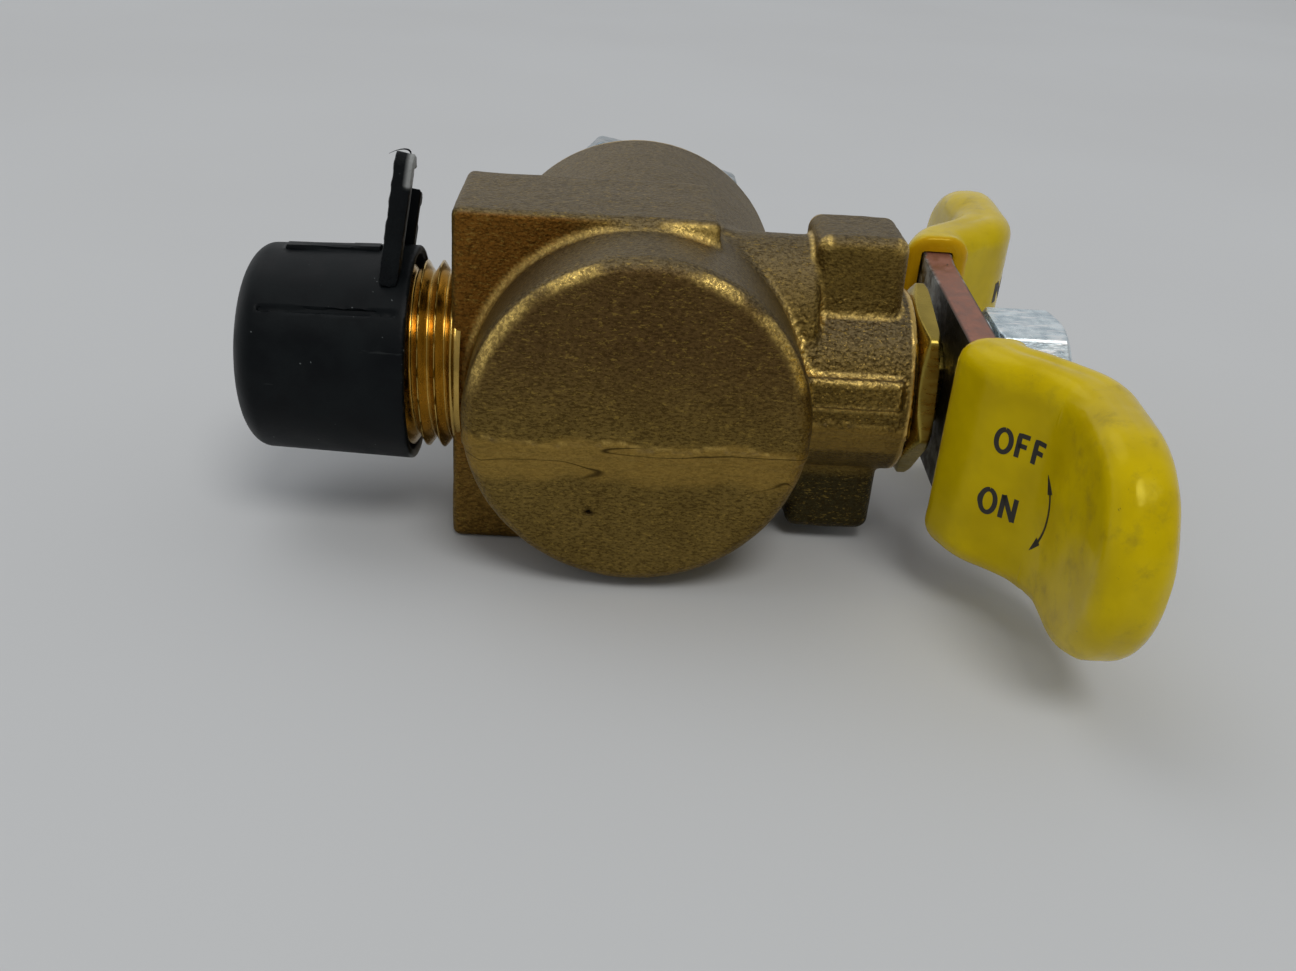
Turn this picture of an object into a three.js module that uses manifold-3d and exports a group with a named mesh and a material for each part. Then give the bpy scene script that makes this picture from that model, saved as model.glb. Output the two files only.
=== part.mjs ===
// Angle ball valve with a T-handle: cast brass body, threaded outlet with a push-on cap,
// inlet through a steel hexagon end connector, and a quarter-turn stem with a packing nut.
//
// Units are millimetres and +Z is up. +X runs along the stem from the ball to the handle,
// +Y runs from the ball to the inlet. Pieces are drawn about the ball's centre, and the whole
// valve then stands on its base, so that the origin is on the base face, under the ball.

import * as THREE from 'three';
import { mergeVertices } from 'three/addons/utils/BufferGeometryUtils.js';
import Module from 'manifold-3d';

const wasm = await Module();
wasm.setup();

// ---------------------------------------------------------------- driving dimensions

const GAP = 0.3;                 // clearance between touching pieces
const FAR_OUT = 100;             // reach of a cutting block, past every piece

const BASE_HEIGHT = 19.3;        // ball centre above the base face
const BLOCK_LEFT = -20.2;
const BLOCK_RIGHT = 7.75;
const BLOCK_HALF_DEPTH = 8.2;
const BOSS_RADIUS = 18.2;        // blind round boss in front
const BOSS_FACE = -18.7;
const REAR_RADIUS = 18.7;        // round barrel that takes the end connector
const REAR_FACE = 32;

const OUTLET_END = -40.2;        // free end of the male pipe thread
const THREAD_CREST = 10.65;      // at the block
const THREAD_DEPTH = 1.2;
const THREAD_PITCH = 1.814;      // 14 threads per inch
const THREAD_TAPER = 1 / 32;     // radius lost per length on a pipe thread
const OUTLET_BORE = 6;

const NECK_RADIUS = 10.5;
const NECK_END = 30.2;
const LUG_LEFT = 18.5;
const LUG_RIGHT = 28.5;
const LUG_TOP = 17.7;
const LUG_HALF_DEPTH = 5.3;
const SHOULDER_END = 19.3;
const SHOULDER_HEIGHT = 16.2;
const SHOULDER_HALF_DEPTH = 9.4;
const RIB_LEFT = 14;             // stiffening rib on either side of the neck
const RIB_FACE = 11.2;
const RIB_LOW = 0.4;
const RIB_HIGH = 3.8;

const BALL_RADIUS = 11;
const BALL_PORT = 5.5;
const CHAMBER_RADIUS = 12.6;
const CHAMBER_FLOOR = -13.6;
const CHAMBER_END = 14;
const SEAT_BORE = 6.1;
const SEAT_CONTACT = 9.9;        // outer radius of a seat's contact with the ball

const CONNECTOR_THREAD = 14.1;
const CONNECTOR_FACE = 37.4;
const CONNECTOR_HEX = 18.8;      // corner radius
const CONNECTOR_TURN = 47.5 * Math.PI / 180;
const INLET_BORE = 9.6;
const INLET_DEPTH = 16;
const SEAL_SEAT_RADIUS = 16.6;
const SEAL_SEAT_DEPTH = 2.5;

const STEM_RADIUS = 4.7;
const STEM_END = 47.7;
const STEM_FLAT = 3.6;           // half the distance across the stem's flats
const TANG_HALF_THICKNESS = 2;
const SLOT_FLOOR = 8.2;
const COLLAR_RADIUS = 6.9;
const COLLAR_LENGTH_TO_POCKET = 1.4;
const STEM_GROOVE_LEFT = 16.6;   // groove that holds the stem's O-ring
const STEM_GROOVE_WIDTH = 1.8;
const STEM_GROOVE_RADIUS = 3.5;
const STEM_RING_MIDDLE = 4.25;
const STEM_RING_SECTION = 0.45;
const POCKET_END = 15.9;         // floor of the pocket that holds the stem's collar
const PACKING_START = 18.9;
const PACKING_RADIUS = 7.2;
const PACKING_RING_WIDTH = 2;
const GLAND_THREAD_START = 25.4;
const GLAND_THREAD_RADIUS = 8.5;

const NUT_LEFT = 30.5;           // packing nut's hexagon
const NUT_RIGHT = 32.6;
const NUT_CORNER = 11.2;
const NUT_TURN = 136 * Math.PI / 180;

const HANDLE_TILT = 0.065;       // radians; the near wing hangs a little low
const PLATE_LEFT = 34.5;
const PLATE_THICKNESS = 3.5;
const PLATE_HALF_WIDTH = 9.8;
const WING_HALF_WIDTH = 10.5;
const WING_BEND_START = 14.7;
const WING_BEND_RADIUS = 4.5;
const WING_BEND_ANGLE = 0.9;
const WING_SLOPE_LENGTH = 6;
const WING_FLAT_LENGTH = 17.8;
const SLEEVE_WALL = 1.75;
const SLEEVE_START = 14.2;

const HANDLE_NUT_LEFT = 40.1;
const HANDLE_NUT_RIGHT = 48.2;
const HANDLE_NUT_CORNER = 9;
const HANDLE_NUT_TURN = 0.035;
const WASHER_RADIUS = 7.6;

const CAP_MOUTH = -24.8;
const CAP_END = -43.8;
const CAP_MOUTH_RADIUS = 12.1;
const CAP_TAPER = 0.035;
const CAP_BORE = 11;
const CAP_WALL = 1.1;
const CAP_DOME_DEPTH = 4;
const CAP_DOME_RADIUS = 7;
const CAP_RIB_HALF_WIDTH = 0.8;
const TAB_HALF_WIDTH = 7;
const TAB_THICKNESS = 2;
const TAB_TOP = 24.6;            // at the near corner; the torn edge falls away from it
const TAB_FAR_TOP = 17.5;
const TAB_FOOT = 6;
const TAB_CORNER = 2;
const TAB_LEAN = 0.15;

const BROAD = 56;                // segments round the body's two large cylinders
const ROUND = 36;                // segments round a turned surface
const FINE = 24;                 // segments round a small one

// ---------------------------------------------------------------- materials

const material = (color, roughness, metalness) =>
  new THREE.MeshStandardMaterial({ color, roughness, metalness, flatShading: true });

const castBrass = () => material(0x8a6f3c, 0.55, 1);
const machinedBrass = () => material(0xb8923f, 0.3, 1);
const zincPlate = () => material(0xaab0b5, 0.3, 1);
const primedSteel = () => material(0xa9756c, 0.6, 0.3);
const blackPlastic = () => material(0x15191c, 0.5, 0);
const yellowVinyl = () => material(0xc9ac08, 0.35, 0);
const chromedBrass = () => material(0xd5d8da, 0.1, 1);
const whiteFluoropolymer = () => material(0xeeeeea, 0.5, 0);
const blackRubber = () => material(0x1c1c1c, 0.8, 0);

// ---------------------------------------------------------------- solids from three.js shapes

function solidFrom(source) {
  let geometry = source.clone();
  geometry.deleteAttribute('normal');
  geometry.deleteAttribute('uv');
  geometry = mergeVertices(geometry, 1e-4);
  const corners = geometry.index.array;
  const triangles = [];
  for (let i = 0; i < corners.length; i += 3) {
    const [a, b, c] = [corners[i], corners[i + 1], corners[i + 2]];
    if (a !== b && b !== c && c !== a) triangles.push(a, b, c);
  }
  const points = geometry.attributes.position.array;
  if (signedVolume(points, triangles) < 0) {
    for (let i = 0; i < triangles.length; i += 3) {
      [triangles[i], triangles[i + 1]] = [triangles[i + 1], triangles[i]];
    }
  }
  return new wasm.Manifold(new wasm.Mesh({
    numProp: 3,
    vertProperties: new Float32Array(points),
    triVerts: new Uint32Array(triangles),
  }));
}

function signedVolume(points, triangles) {
  const corner = (i) => new THREE.Vector3().fromArray(points, 3 * triangles[i]);
  let sixfold = 0;
  for (let i = 0; i < triangles.length; i += 3) {
    sixfold += corner(i).dot(corner(i + 1).cross(corner(i + 2)));
  }
  return sixfold;
}

function meshFrom(name, solid, finish) {
  const mesh = solid.getMesh();
  const geometry = new THREE.BufferGeometry();
  geometry.setAttribute('position', new THREE.BufferAttribute(new Float32Array(mesh.vertProperties), 3));
  geometry.setIndex(new THREE.BufferAttribute(new Uint32Array(mesh.triVerts), 1));
  geometry.computeVertexNormals();
  const piece = new THREE.Mesh(geometry, finish);
  piece.name = name;
  return piece;
}

// A turned solid. The profile lists [radius, distance along the axis] pairs.
function turned(axis, profile, segments = ROUND) {
  const points = profile.map(([radius, along]) => new THREE.Vector2(radius, along));
  const geometry = new THREE.LatheGeometry(points, segments);
  if (axis === 'x') geometry.rotateZ(-Math.PI / 2);
  return solidFrom(geometry);
}

function rod(axis, radius, from, to, segments = ROUND) {
  return turned(axis, [[0, from], [radius, from], [radius, to], [0, to]], segments);
}

function ring(axis, inner, outer, from, to, segments = ROUND) {
  const profile = [[inner, from], [outer, from], [outer, to], [inner, to], [inner, from]];
  return turned(axis, profile, segments);
}

function box(low, high) {
  const size = high.map((value, i) => value - low[i]);
  const geometry = new THREE.BoxGeometry(...size);
  geometry.translate(...low.map((value, i) => value + size[i] / 2));
  return solidFrom(geometry);
}

// A bar of the given outline in X and Z, from one Y to another, with bevelled ends.
function barAlongY(outline, from, to, bevel = 0) {
  const geometry = new THREE.ExtrudeGeometry(outline, {
    depth: to - from - 2 * bevel,
    bevelEnabled: bevel > 0,
    bevelThickness: bevel,
    bevelSize: bevel,
    bevelOffset: -bevel,
    bevelSegments: 2,
    curveSegments: 6,
  });
  geometry.rotateX(Math.PI / 2);
  geometry.translate(0, to - bevel, 0);
  return solidFrom(geometry);
}

// A bar whose outline is given as [Y, Z] pairs, from one X to another.
function barAlongX(pairs, from, to) {
  const outline = new THREE.Shape(pairs.map(([y, z]) => new THREE.Vector2(-z, y)));
  const geometry = new THREE.ExtrudeGeometry(outline, { depth: to - from, bevelEnabled: false });
  geometry.rotateY(Math.PI / 2);
  geometry.translate(from, 0, 0);
  return solidFrom(geometry);
}

function roundedRectangle(left, bottom, right, top, radius) {
  const shape = new THREE.Shape();
  shape.moveTo(left + radius, bottom);
  shape.lineTo(right - radius, bottom);
  shape.absarc(right - radius, bottom + radius, radius, -Math.PI / 2, 0);
  shape.lineTo(right, top - radius);
  shape.absarc(right - radius, top - radius, radius, 0, Math.PI / 2);
  shape.lineTo(left + radius, top);
  shape.absarc(left + radius, top - radius, radius, Math.PI / 2, Math.PI);
  shape.lineTo(left, bottom + radius);
  shape.absarc(left + radius, bottom + radius, radius, Math.PI, 1.5 * Math.PI);
  return shape;
}

// A hexagonal prism along an axis. Its corners are turned off by a cone at either end.
function hexagon(axis, cornerRadius, firstCorner, from, to, chamferFrom, chamferTo) {
  const corners = [];
  for (let i = 0; i < 6; i += 1) {
    const angle = firstCorner + i * Math.PI / 3;
    corners.push([cornerRadius * Math.cos(angle), cornerRadius * Math.sin(angle)]);
  }
  const prism = axis === 'x'
    ? barAlongX(corners, from, to)
    : barAlongY(new THREE.Shape(corners.map(([x, z]) => new THREE.Vector2(x, z))), from, to);
  const slope = 0.55;
  const turnedBlank = turned(axis, [
    [0, from],
    [cornerRadius - chamferFrom, from],
    [cornerRadius + 0.01, from + slope * chamferFrom],
    [cornerRadius + 0.01, to - slope * chamferTo],
    [cornerRadius - chamferTo, to],
    [0, to],
  ]);
  return prism.intersect(turnedBlank);
}

// Points on an arc, as [first, second] pairs, with both ends included.
function arcPoints(centreA, centreB, radius, from, to, steps) {
  const points = [];
  for (let i = 0; i <= steps; i += 1) {
    const angle = from + (to - from) * i / steps;
    points.push([centreA + radius * Math.cos(angle), centreB + radius * Math.sin(angle)]);
  }
  return points;
}

// ---------------------------------------------------------------- body casting

function blindBoss() {
  const edge = 2.3;
  const dome = 0.3;
  return turned('y', [
    [0, BOSS_FACE],
    [BOSS_RADIUS - 2 * edge, BOSS_FACE + dome],
    ...arcPoints(BOSS_RADIUS - edge, BOSS_FACE + dome + edge, edge, -Math.PI / 2, 0, 4),
    [BOSS_RADIUS, 0],
    [0, 0],
  ], BROAD);
}

function block() {
  const outline = roundedRectangle(BLOCK_LEFT, -BASE_HEIGHT, BLOCK_RIGHT, BASE_HEIGHT, 1.2);
  return barAlongY(outline, -BLOCK_HALF_DEPTH, BLOCK_HALF_DEPTH, 0.8);
}

function rearBarrel() {
  return turned('y', [
    [0, -1],
    [REAR_RADIUS, -1],
    [REAR_RADIUS, REAR_FACE - 1],
    [REAR_RADIUS - 1, REAR_FACE],
    [0, REAR_FACE],
  ], BROAD);
}

function neck() {
  return turned('x', [
    [0, 0],
    [NECK_RADIUS, 0],
    [NECK_RADIUS, NECK_END - 1],
    [NECK_RADIUS - 1, NECK_END],
    [0, NECK_END],
  ]);
}

// The shoulder is an oval boss that carries the neck and both lugs.
function shoulder() {
  const outline = [];
  for (let i = 0; i < 28; i += 1) {
    const angle = i * Math.PI / 14;
    outline.push([SHOULDER_HALF_DEPTH * Math.cos(angle), SHOULDER_HEIGHT * Math.sin(angle)]);
  }
  return barAlongX(outline, 0, SHOULDER_END);
}

function lug(side) {
  const low = side > 0 ? 6 : -LUG_TOP;
  const high = side > 0 ? LUG_TOP : -6;
  const outline = roundedRectangle(LUG_LEFT, low, LUG_RIGHT, high, 1.6);
  return barAlongY(outline, -LUG_HALF_DEPTH, LUG_HALF_DEPTH, 0.9);
}

function sideRib(side) {
  const buried = side * NECK_RADIUS / 2;
  const face = side * RIB_FACE;
  const low = [RIB_LEFT, Math.min(buried, face), RIB_LOW];
  return box(low, [NECK_END - 1.4, Math.max(buried, face), RIB_HIGH]);
}

function outletNipple() {
  const plainLength = 2 * THREAD_PITCH;
  const profile = [[0, OUTLET_END], [9, OUTLET_END]];
  const turns = Math.floor((BLOCK_LEFT - OUTLET_END - plainLength) / THREAD_PITCH);
  for (let i = turns; i >= 0; i -= 1) {
    const crestAt = BLOCK_LEFT - (i + 0.6) * THREAD_PITCH;
    const crest = THREAD_CREST - (BLOCK_LEFT - crestAt) * THREAD_TAPER;
    profile.push([crest, crestAt], [crest - THREAD_DEPTH, crestAt + THREAD_PITCH / 2]);
  }
  profile.push([THREAD_CREST - THREAD_DEPTH, BLOCK_LEFT + 5], [0, BLOCK_LEFT + 5]);
  return turned('x', profile, FINE);
}

function valveBody() {
  const casting = blindBoss()
    .add(block())
    .add(rearBarrel())
    .add(neck())
    .add(shoulder())
    .add(lug(1))
    .add(lug(-1))
    .add(sideRib(1))
    .add(sideRib(-1))
    .add(outletNipple());
  const passages = rod('y', CHAMBER_RADIUS, CHAMBER_FLOOR, CHAMBER_END)
    .add(rod('y', CONNECTOR_THREAD + GAP, CHAMBER_END - 0.01, REAR_FACE + 1))
    .add(rod('y', SEAL_SEAT_RADIUS, REAR_FACE - SEAL_SEAT_DEPTH, REAR_FACE + 1))
    .add(rod('x', OUTLET_BORE, OUTLET_END - 1, 0, FINE))
    .add(rod('x', COLLAR_RADIUS + GAP, 0, POCKET_END, FINE))
    .add(rod('x', STEM_RADIUS + GAP, 0, NECK_END, FINE))
    .add(rod('x', PACKING_RADIUS, PACKING_START, NECK_END, FINE))
    .add(rod('x', GLAND_THREAD_RADIUS, GLAND_THREAD_START, NECK_END + 1, FINE));
  return casting.subtract(passages);
}

// ---------------------------------------------------------------- ball, seats and inlet

function ball() {
  const sphere = new THREE.SphereGeometry(BALL_RADIUS, 28, 16);
  const slotHalfWidth = TANG_HALF_THICKNESS + GAP;
  return solidFrom(sphere)
    .subtract(rod('y', BALL_PORT, 0, BALL_RADIUS + 1, FINE))
    .subtract(rod('x', BALL_PORT, -BALL_RADIUS - 1, 0, FINE))
    .subtract(solidFrom(new THREE.SphereGeometry(BALL_PORT, 16, 10)))
    .subtract(box([SLOT_FLOOR, -slotHalfWidth, -BALL_RADIUS], [BALL_RADIUS + 1, slotHalfWidth, BALL_RADIUS]));
}

// A seat ring lies in the chamber, and its hollow face follows the ball.
function seat(side) {
  const contact = BALL_RADIUS + GAP;
  const outer = CHAMBER_RADIUS - GAP;
  const back = side > 0 ? CHAMBER_END - 2 * GAP : -CHAMBER_FLOOR - GAP;
  const innerAngle = Math.acos(SEAT_BORE / contact);
  const outerAngle = Math.acos(SEAT_CONTACT / contact);
  const hollow = arcPoints(0, 0, contact + 0.05, outerAngle, innerAngle, 4);
  const lip = hollow[0][1];
  const profile = [...hollow, [SEAT_BORE, back], [outer, back], [outer, lip], hollow[0]];
  return turned('y', profile.map(([radius, along]) => [radius, side * along]));
}

function inletConnector() {
  const flangeFace = REAR_FACE + GAP;
  const hex = hexagon('y', CONNECTOR_HEX, CONNECTOR_TURN, flangeFace, CONNECTOR_FACE, 0.3, 1.6);
  const shank = rod('y', CONNECTOR_THREAD, CHAMBER_END + GAP, flangeFace + 1);
  const port = turned('y', [
    [0, CHAMBER_END - 1],
    [OUTLET_BORE, CHAMBER_END - 1],
    [OUTLET_BORE, CONNECTOR_FACE - INLET_DEPTH - 2],
    [INLET_BORE - 0.6, CONNECTOR_FACE - INLET_DEPTH],
    [INLET_BORE, CONNECTOR_FACE - 1.2],
    [INLET_BORE + 1.2, CONNECTOR_FACE],
    [INLET_BORE + 1.2, CONNECTOR_FACE + 1],
    [0, CONNECTOR_FACE + 1],
  ]);
  return hex.add(shank).subtract(port);
}

function connectorSeal() {
  const section = 0.9;
  const middle = (CONNECTOR_THREAD + SEAL_SEAT_RADIUS) / 2;
  const along = REAR_FACE - SEAL_SEAT_DEPTH / 2;
  return turned('y', arcPoints(middle, along, section, 0, 2 * Math.PI, 6));
}

// ---------------------------------------------------------------- stem and packing

function stem() {
  const collarLeft = CHAMBER_RADIUS;
  const collarRight = POCKET_END - COLLAR_LENGTH_TO_POCKET;
  const grooveRight = STEM_GROOVE_LEFT + STEM_GROOVE_WIDTH;
  const shaft = turned('x', [
    [0, collarLeft],
    [COLLAR_RADIUS, collarLeft],
    [COLLAR_RADIUS, collarRight],
    [STEM_RADIUS, collarRight],
    [STEM_RADIUS, STEM_GROOVE_LEFT],
    [STEM_GROOVE_RADIUS, STEM_GROOVE_LEFT],
    [STEM_GROOVE_RADIUS, grooveRight],
    [STEM_RADIUS, grooveRight],
    [STEM_RADIUS, STEM_END - 0.8],
    [STEM_RADIUS - 0.8, STEM_END],
    [0, STEM_END],
  ], FINE);
  const tang = box(
    [SLOT_FLOOR + GAP, -TANG_HALF_THICKNESS, -STEM_RADIUS],
    [collarLeft + 0.5, TANG_HALF_THICKNESS, STEM_RADIUS],
  );
  return shaft.add(tang).subtract(stemFlats());
}

// The material taken off to leave two flats, tilted as the handle is.
function stemFlats() {
  const from = PLATE_LEFT - GAP;
  const to = PLATE_LEFT + PLATE_THICKNESS + GAP;
  const cut = (low, high) => {
    const geometry = new THREE.BoxGeometry(to - from, high - low, 3 * STEM_RADIUS);
    geometry.translate((from + to) / 2, (low + high) / 2, 0);
    geometry.rotateX(HANDLE_TILT);
    return solidFrom(geometry);
  };
  return cut(STEM_FLAT, 2 * STEM_RADIUS).add(cut(-2 * STEM_RADIUS, -STEM_FLAT));
}

function stemOring() {
  const middle = STEM_GROOVE_LEFT + STEM_GROOVE_WIDTH / 2;
  return turned('x', arcPoints(STEM_RING_MIDDLE, middle, STEM_RING_SECTION, 0, 2 * Math.PI, 6), FINE);
}

function thrustWasher() {
  const from = POCKET_END - COLLAR_LENGTH_TO_POCKET + GAP;
  return ring('x', STEM_RADIUS + GAP, COLLAR_RADIUS, from, POCKET_END - GAP, FINE);
}

function packingRing(index) {
  const from = PACKING_START + GAP + index * (PACKING_RING_WIDTH + GAP);
  return ring('x', STEM_RADIUS + GAP, PACKING_RADIUS - GAP, from, from + PACKING_RING_WIDTH, FINE);
}

function glandFollower() {
  const from = PACKING_START + GAP + 2 * (PACKING_RING_WIDTH + GAP);
  return ring('x', STEM_RADIUS + GAP, PACKING_RADIUS - GAP, from, GLAND_THREAD_START, FINE);
}

function packingNut() {
  const hex = hexagon('x', NUT_CORNER, NUT_TURN, NUT_LEFT, NUT_RIGHT, 1.6, 0.5);
  return hex
    .add(rod('x', GLAND_THREAD_RADIUS - GAP, GLAND_THREAD_START + GAP, NUT_LEFT + 0.5, FINE))
    .subtract(rod('x', STEM_RADIUS + GAP, 0, NUT_RIGHT + 1, FINE));
}

// ---------------------------------------------------------------- handle

// Centre line of the near wing, from the stem to the tip: places with X, Y and the strip's lean.
function wingCentreLine(trim) {
  const middle = PLATE_LEFT + PLATE_THICKNESS / 2;
  const bendSteps = 5;
  const line = [{ x: middle, y: 0, angle: 0 }];
  let x = middle;
  let y = -WING_BEND_START;
  let angle = 0;
  line.push({ x, y, angle });
  const turnBy = (total) => {
    for (let i = 0; i < bendSteps; i += 1) {
      const step = total / bendSteps;
      const chord = WING_BEND_RADIUS * Math.abs(step);
      x += chord * Math.sin(angle + step / 2);
      y -= chord * Math.cos(angle + step / 2);
      angle += step;
      line.push({ x, y, angle });
    }
  };
  turnBy(WING_BEND_ANGLE);
  x += WING_SLOPE_LENGTH * Math.sin(angle);
  y -= WING_SLOPE_LENGTH * Math.cos(angle);
  line.push({ x, y, angle });
  turnBy(-WING_BEND_ANGLE);
  y -= WING_FLAT_LENGTH - trim;
  line.push({ x, y, angle });
  return line;
}

// The bent strip seen from above, as a closed list of [X, Y] pairs.
function wingOutline(halfThickness, trim) {
  const line = wingCentreLine(trim);
  const offset = (point, side) => [
    point.x + side * halfThickness * Math.cos(point.angle),
    point.y + side * halfThickness * Math.sin(point.angle),
  ];
  const outer = line.map((point) => offset(point, 1));
  const inner = line.map((point) => offset(point, -1)).reverse();
  return [...outer, ...inner];
}

// The near wing, or the far one, turned half round: the bent strip, cut to a plan with a round end.
function wing(halfThickness, halfWidth, trim, far = false) {
  const outline = wingOutline(halfThickness, trim);
  const shape = new THREE.Shape(outline.map(([x, y]) => new THREE.Vector2(x, y)));
  const geometry = new THREE.ExtrudeGeometry(shape, { depth: 2 * halfWidth, bevelEnabled: false });
  geometry.translate(0, 0, -halfWidth);
  if (far) {
    geometry.scale(1, -1, -1);
  }
  const tip = Math.min(...outline.map((pair) => pair[1]));
  const corner = 0.9 * halfWidth;
  const plan = [
    [1, halfWidth],
    ...arcPoints(tip + corner, halfWidth - corner, corner, Math.PI / 2, Math.PI, 8),
    ...arcPoints(tip + corner, corner - halfWidth, corner, Math.PI, 1.5 * Math.PI, 8),
    [1, -halfWidth],
  ];
  const away = far ? -1 : 1;
  return solidFrom(geometry).intersect(barAlongX(plan.map(([y, z]) => [away * y, z]), 0, FAR_OUT));
}

function handlePlate() {
  const near = wing(PLATE_THICKNESS / 2, WING_HALF_WIDTH, SLEEVE_WALL);
  const far = wing(PLATE_THICKNESS / 2, WING_HALF_WIDTH, SLEEVE_WALL, true);
  const wings = near.add(far);
  const middleStrip = box(
    [0, -WING_BEND_START, -PLATE_HALF_WIDTH],
    [FAR_OUT, WING_BEND_START, PLATE_HALF_WIDTH],
  );
  const outsideMiddle = box([0, -FAR_OUT, -FAR_OUT], [FAR_OUT, -WING_BEND_START, FAR_OUT])
    .add(box([0, WING_BEND_START, -FAR_OUT], [FAR_OUT, FAR_OUT, FAR_OUT]));
  const stemHole = rod('x', STEM_RADIUS + GAP, 0, FAR_OUT, FINE)
    .intersect(box([0, -STEM_FLAT - GAP, -FAR_OUT], [FAR_OUT, STEM_FLAT + GAP, FAR_OUT]));
  return wings.intersect(middleStrip.add(outsideMiddle)).subtract(stemHole);
}

function grip() {
  const sleeve = wing(PLATE_THICKNESS / 2 + SLEEVE_WALL, WING_HALF_WIDTH + SLEEVE_WALL, 0)
    .subtract(box([0, -SLEEVE_START, -FAR_OUT], [FAR_OUT, FAR_OUT, FAR_OUT]));
  return sleeve.subtract(wing(PLATE_THICKNESS / 2 + GAP, WING_HALF_WIDTH + GAP, SLEEVE_WALL - GAP));
}

function lockWasher() {
  const from = PLATE_LEFT + PLATE_THICKNESS + GAP;
  return ring('x', STEM_RADIUS + GAP, WASHER_RADIUS, from, HANDLE_NUT_LEFT - GAP, FINE);
}

function handleNut() {
  return hexagon('x', HANDLE_NUT_CORNER, HANDLE_NUT_TURN, HANDLE_NUT_LEFT, HANDLE_NUT_RIGHT, 0.6, 1.1)
    .subtract(rod('x', STEM_RADIUS + GAP, 0, FAR_OUT, FINE));
}

// ---------------------------------------------------------------- outlet cap

function outletCap() {
  const endRadius = CAP_MOUTH_RADIUS - CAP_TAPER * (CAP_MOUTH - CAP_END - CAP_DOME_DEPTH);
  const endThickness = CAP_WALL + 0.6;
  const dome = (shrink, end) => {
    const points = [];
    for (let i = 0; i <= 4; i += 1) {
      const angle = i * Math.PI / 8;
      points.push([
        endRadius - shrink - CAP_DOME_RADIUS * (1 - Math.sin(angle)),
        end + CAP_DOME_DEPTH * (1 - Math.cos(angle)),
      ]);
    }
    return points;
  };
  const outside = turned('x', [
    [0, CAP_END],
    ...dome(0, CAP_END),
    [CAP_MOUTH_RADIUS, CAP_MOUTH - 0.5],
    [CAP_MOUTH_RADIUS - 0.4, CAP_MOUTH],
    [0, CAP_MOUTH],
  ]);
  const inside = turned('x', [
    [0, CAP_END + endThickness],
    ...dome(CAP_WALL - 0.4, CAP_END + endThickness).filter(([radius]) => radius < CAP_BORE),
    [CAP_BORE, CAP_MOUTH - 0.6],
    [CAP_BORE + 0.5, CAP_MOUTH],
    [CAP_BORE + 0.5, CAP_MOUTH + 1],
    [0, CAP_MOUTH + 1],
  ]);
  const rib = box(
    [CAP_END + CAP_DOME_DEPTH + 0.5, -CAP_RIB_HALF_WIDTH, CAP_BORE],
    [CAP_MOUTH - TAB_THICKNESS - 2, CAP_RIB_HALF_WIDTH, CAP_MOUTH_RADIUS + 0.1],
  );
  return outside.add(rib).subtract(inside);
}

// The stub of the cap's strap stands at the mouth, leaning a little towards the valve.
function strapStub() {
  const right = CAP_MOUTH - 1;
  const left = right - TAB_THICKNESS;
  const nearMiddle = TAB_CORNER - TAB_HALF_WIDTH;
  const outline = [[-TAB_HALF_WIDTH, TAB_FOOT]];
  outline.push(...arcPoints(nearMiddle, TAB_TOP - TAB_CORNER, TAB_CORNER, Math.PI, Math.PI / 2, 4));
  outline.push(...arcPoints(-nearMiddle, TAB_FAR_TOP - TAB_CORNER, TAB_CORNER, Math.PI / 2, 0, 4));
  outline.push([TAB_HALF_WIDTH, TAB_FOOT]);
  const footprint = new THREE.Matrix4().makeTranslation(left, 0, CAP_MOUTH_RADIUS)
    .multiply(new THREE.Matrix4().makeRotationY(TAB_LEAN));
  const shape = new THREE.Shape(outline.map(([y, z]) => new THREE.Vector2(CAP_MOUTH_RADIUS - z, y)));
  const geometry = new THREE.ExtrudeGeometry(shape, { depth: TAB_THICKNESS, bevelEnabled: false });
  geometry.rotateY(Math.PI / 2);
  geometry.applyMatrix4(footprint);
  return solidFrom(geometry).subtract(rod('x', CAP_MOUTH_RADIUS + GAP, CAP_END, CAP_MOUTH + 5));
}

// ---------------------------------------------------------------- assembly

const valve = new THREE.Group();
valve.position.set(0, 0, BASE_HEIGHT);

valve.add(
  meshFrom('valve_body', valveBody(), castBrass()),
  meshFrom('inlet_connector', inletConnector(), zincPlate()),
  meshFrom('connector_seal', connectorSeal(), blackRubber()),
  meshFrom('ball', ball(), chromedBrass()),
  meshFrom('seat_blind_side', seat(-1), whiteFluoropolymer()),
  meshFrom('seat_inlet_side', seat(1), whiteFluoropolymer()),
  meshFrom('stem', stem(), machinedBrass()),
  meshFrom('stem_o_ring', stemOring(), blackRubber()),
  meshFrom('thrust_washer', thrustWasher(), whiteFluoropolymer()),
  meshFrom('packing_ring_inner', packingRing(0), whiteFluoropolymer()),
  meshFrom('packing_ring_outer', packingRing(1), whiteFluoropolymer()),
  meshFrom('gland_follower', glandFollower(), machinedBrass()),
  meshFrom('packing_nut', packingNut(), machinedBrass()),
  meshFrom('lock_washer', lockWasher(), zincPlate()),
  meshFrom('handle_nut', handleNut(), zincPlate()),
);

const handle = new THREE.Group();
handle.rotation.x = HANDLE_TILT;
const nearGrip = meshFrom('grip_near', grip(), yellowVinyl());
const farGrip = meshFrom('grip_far', grip(), yellowVinyl());
farGrip.rotation.x = Math.PI;
handle.add(meshFrom('handle_plate', handlePlate(), primedSteel()), nearGrip, farGrip);
valve.add(handle);

const cap = new THREE.Group();
cap.add(
  meshFrom('outlet_cap', outletCap(), blackPlastic()),
  meshFrom('cap_strap_stub', strapStub(), blackPlastic()),
);
valve.add(cap);

export default valve;
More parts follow.
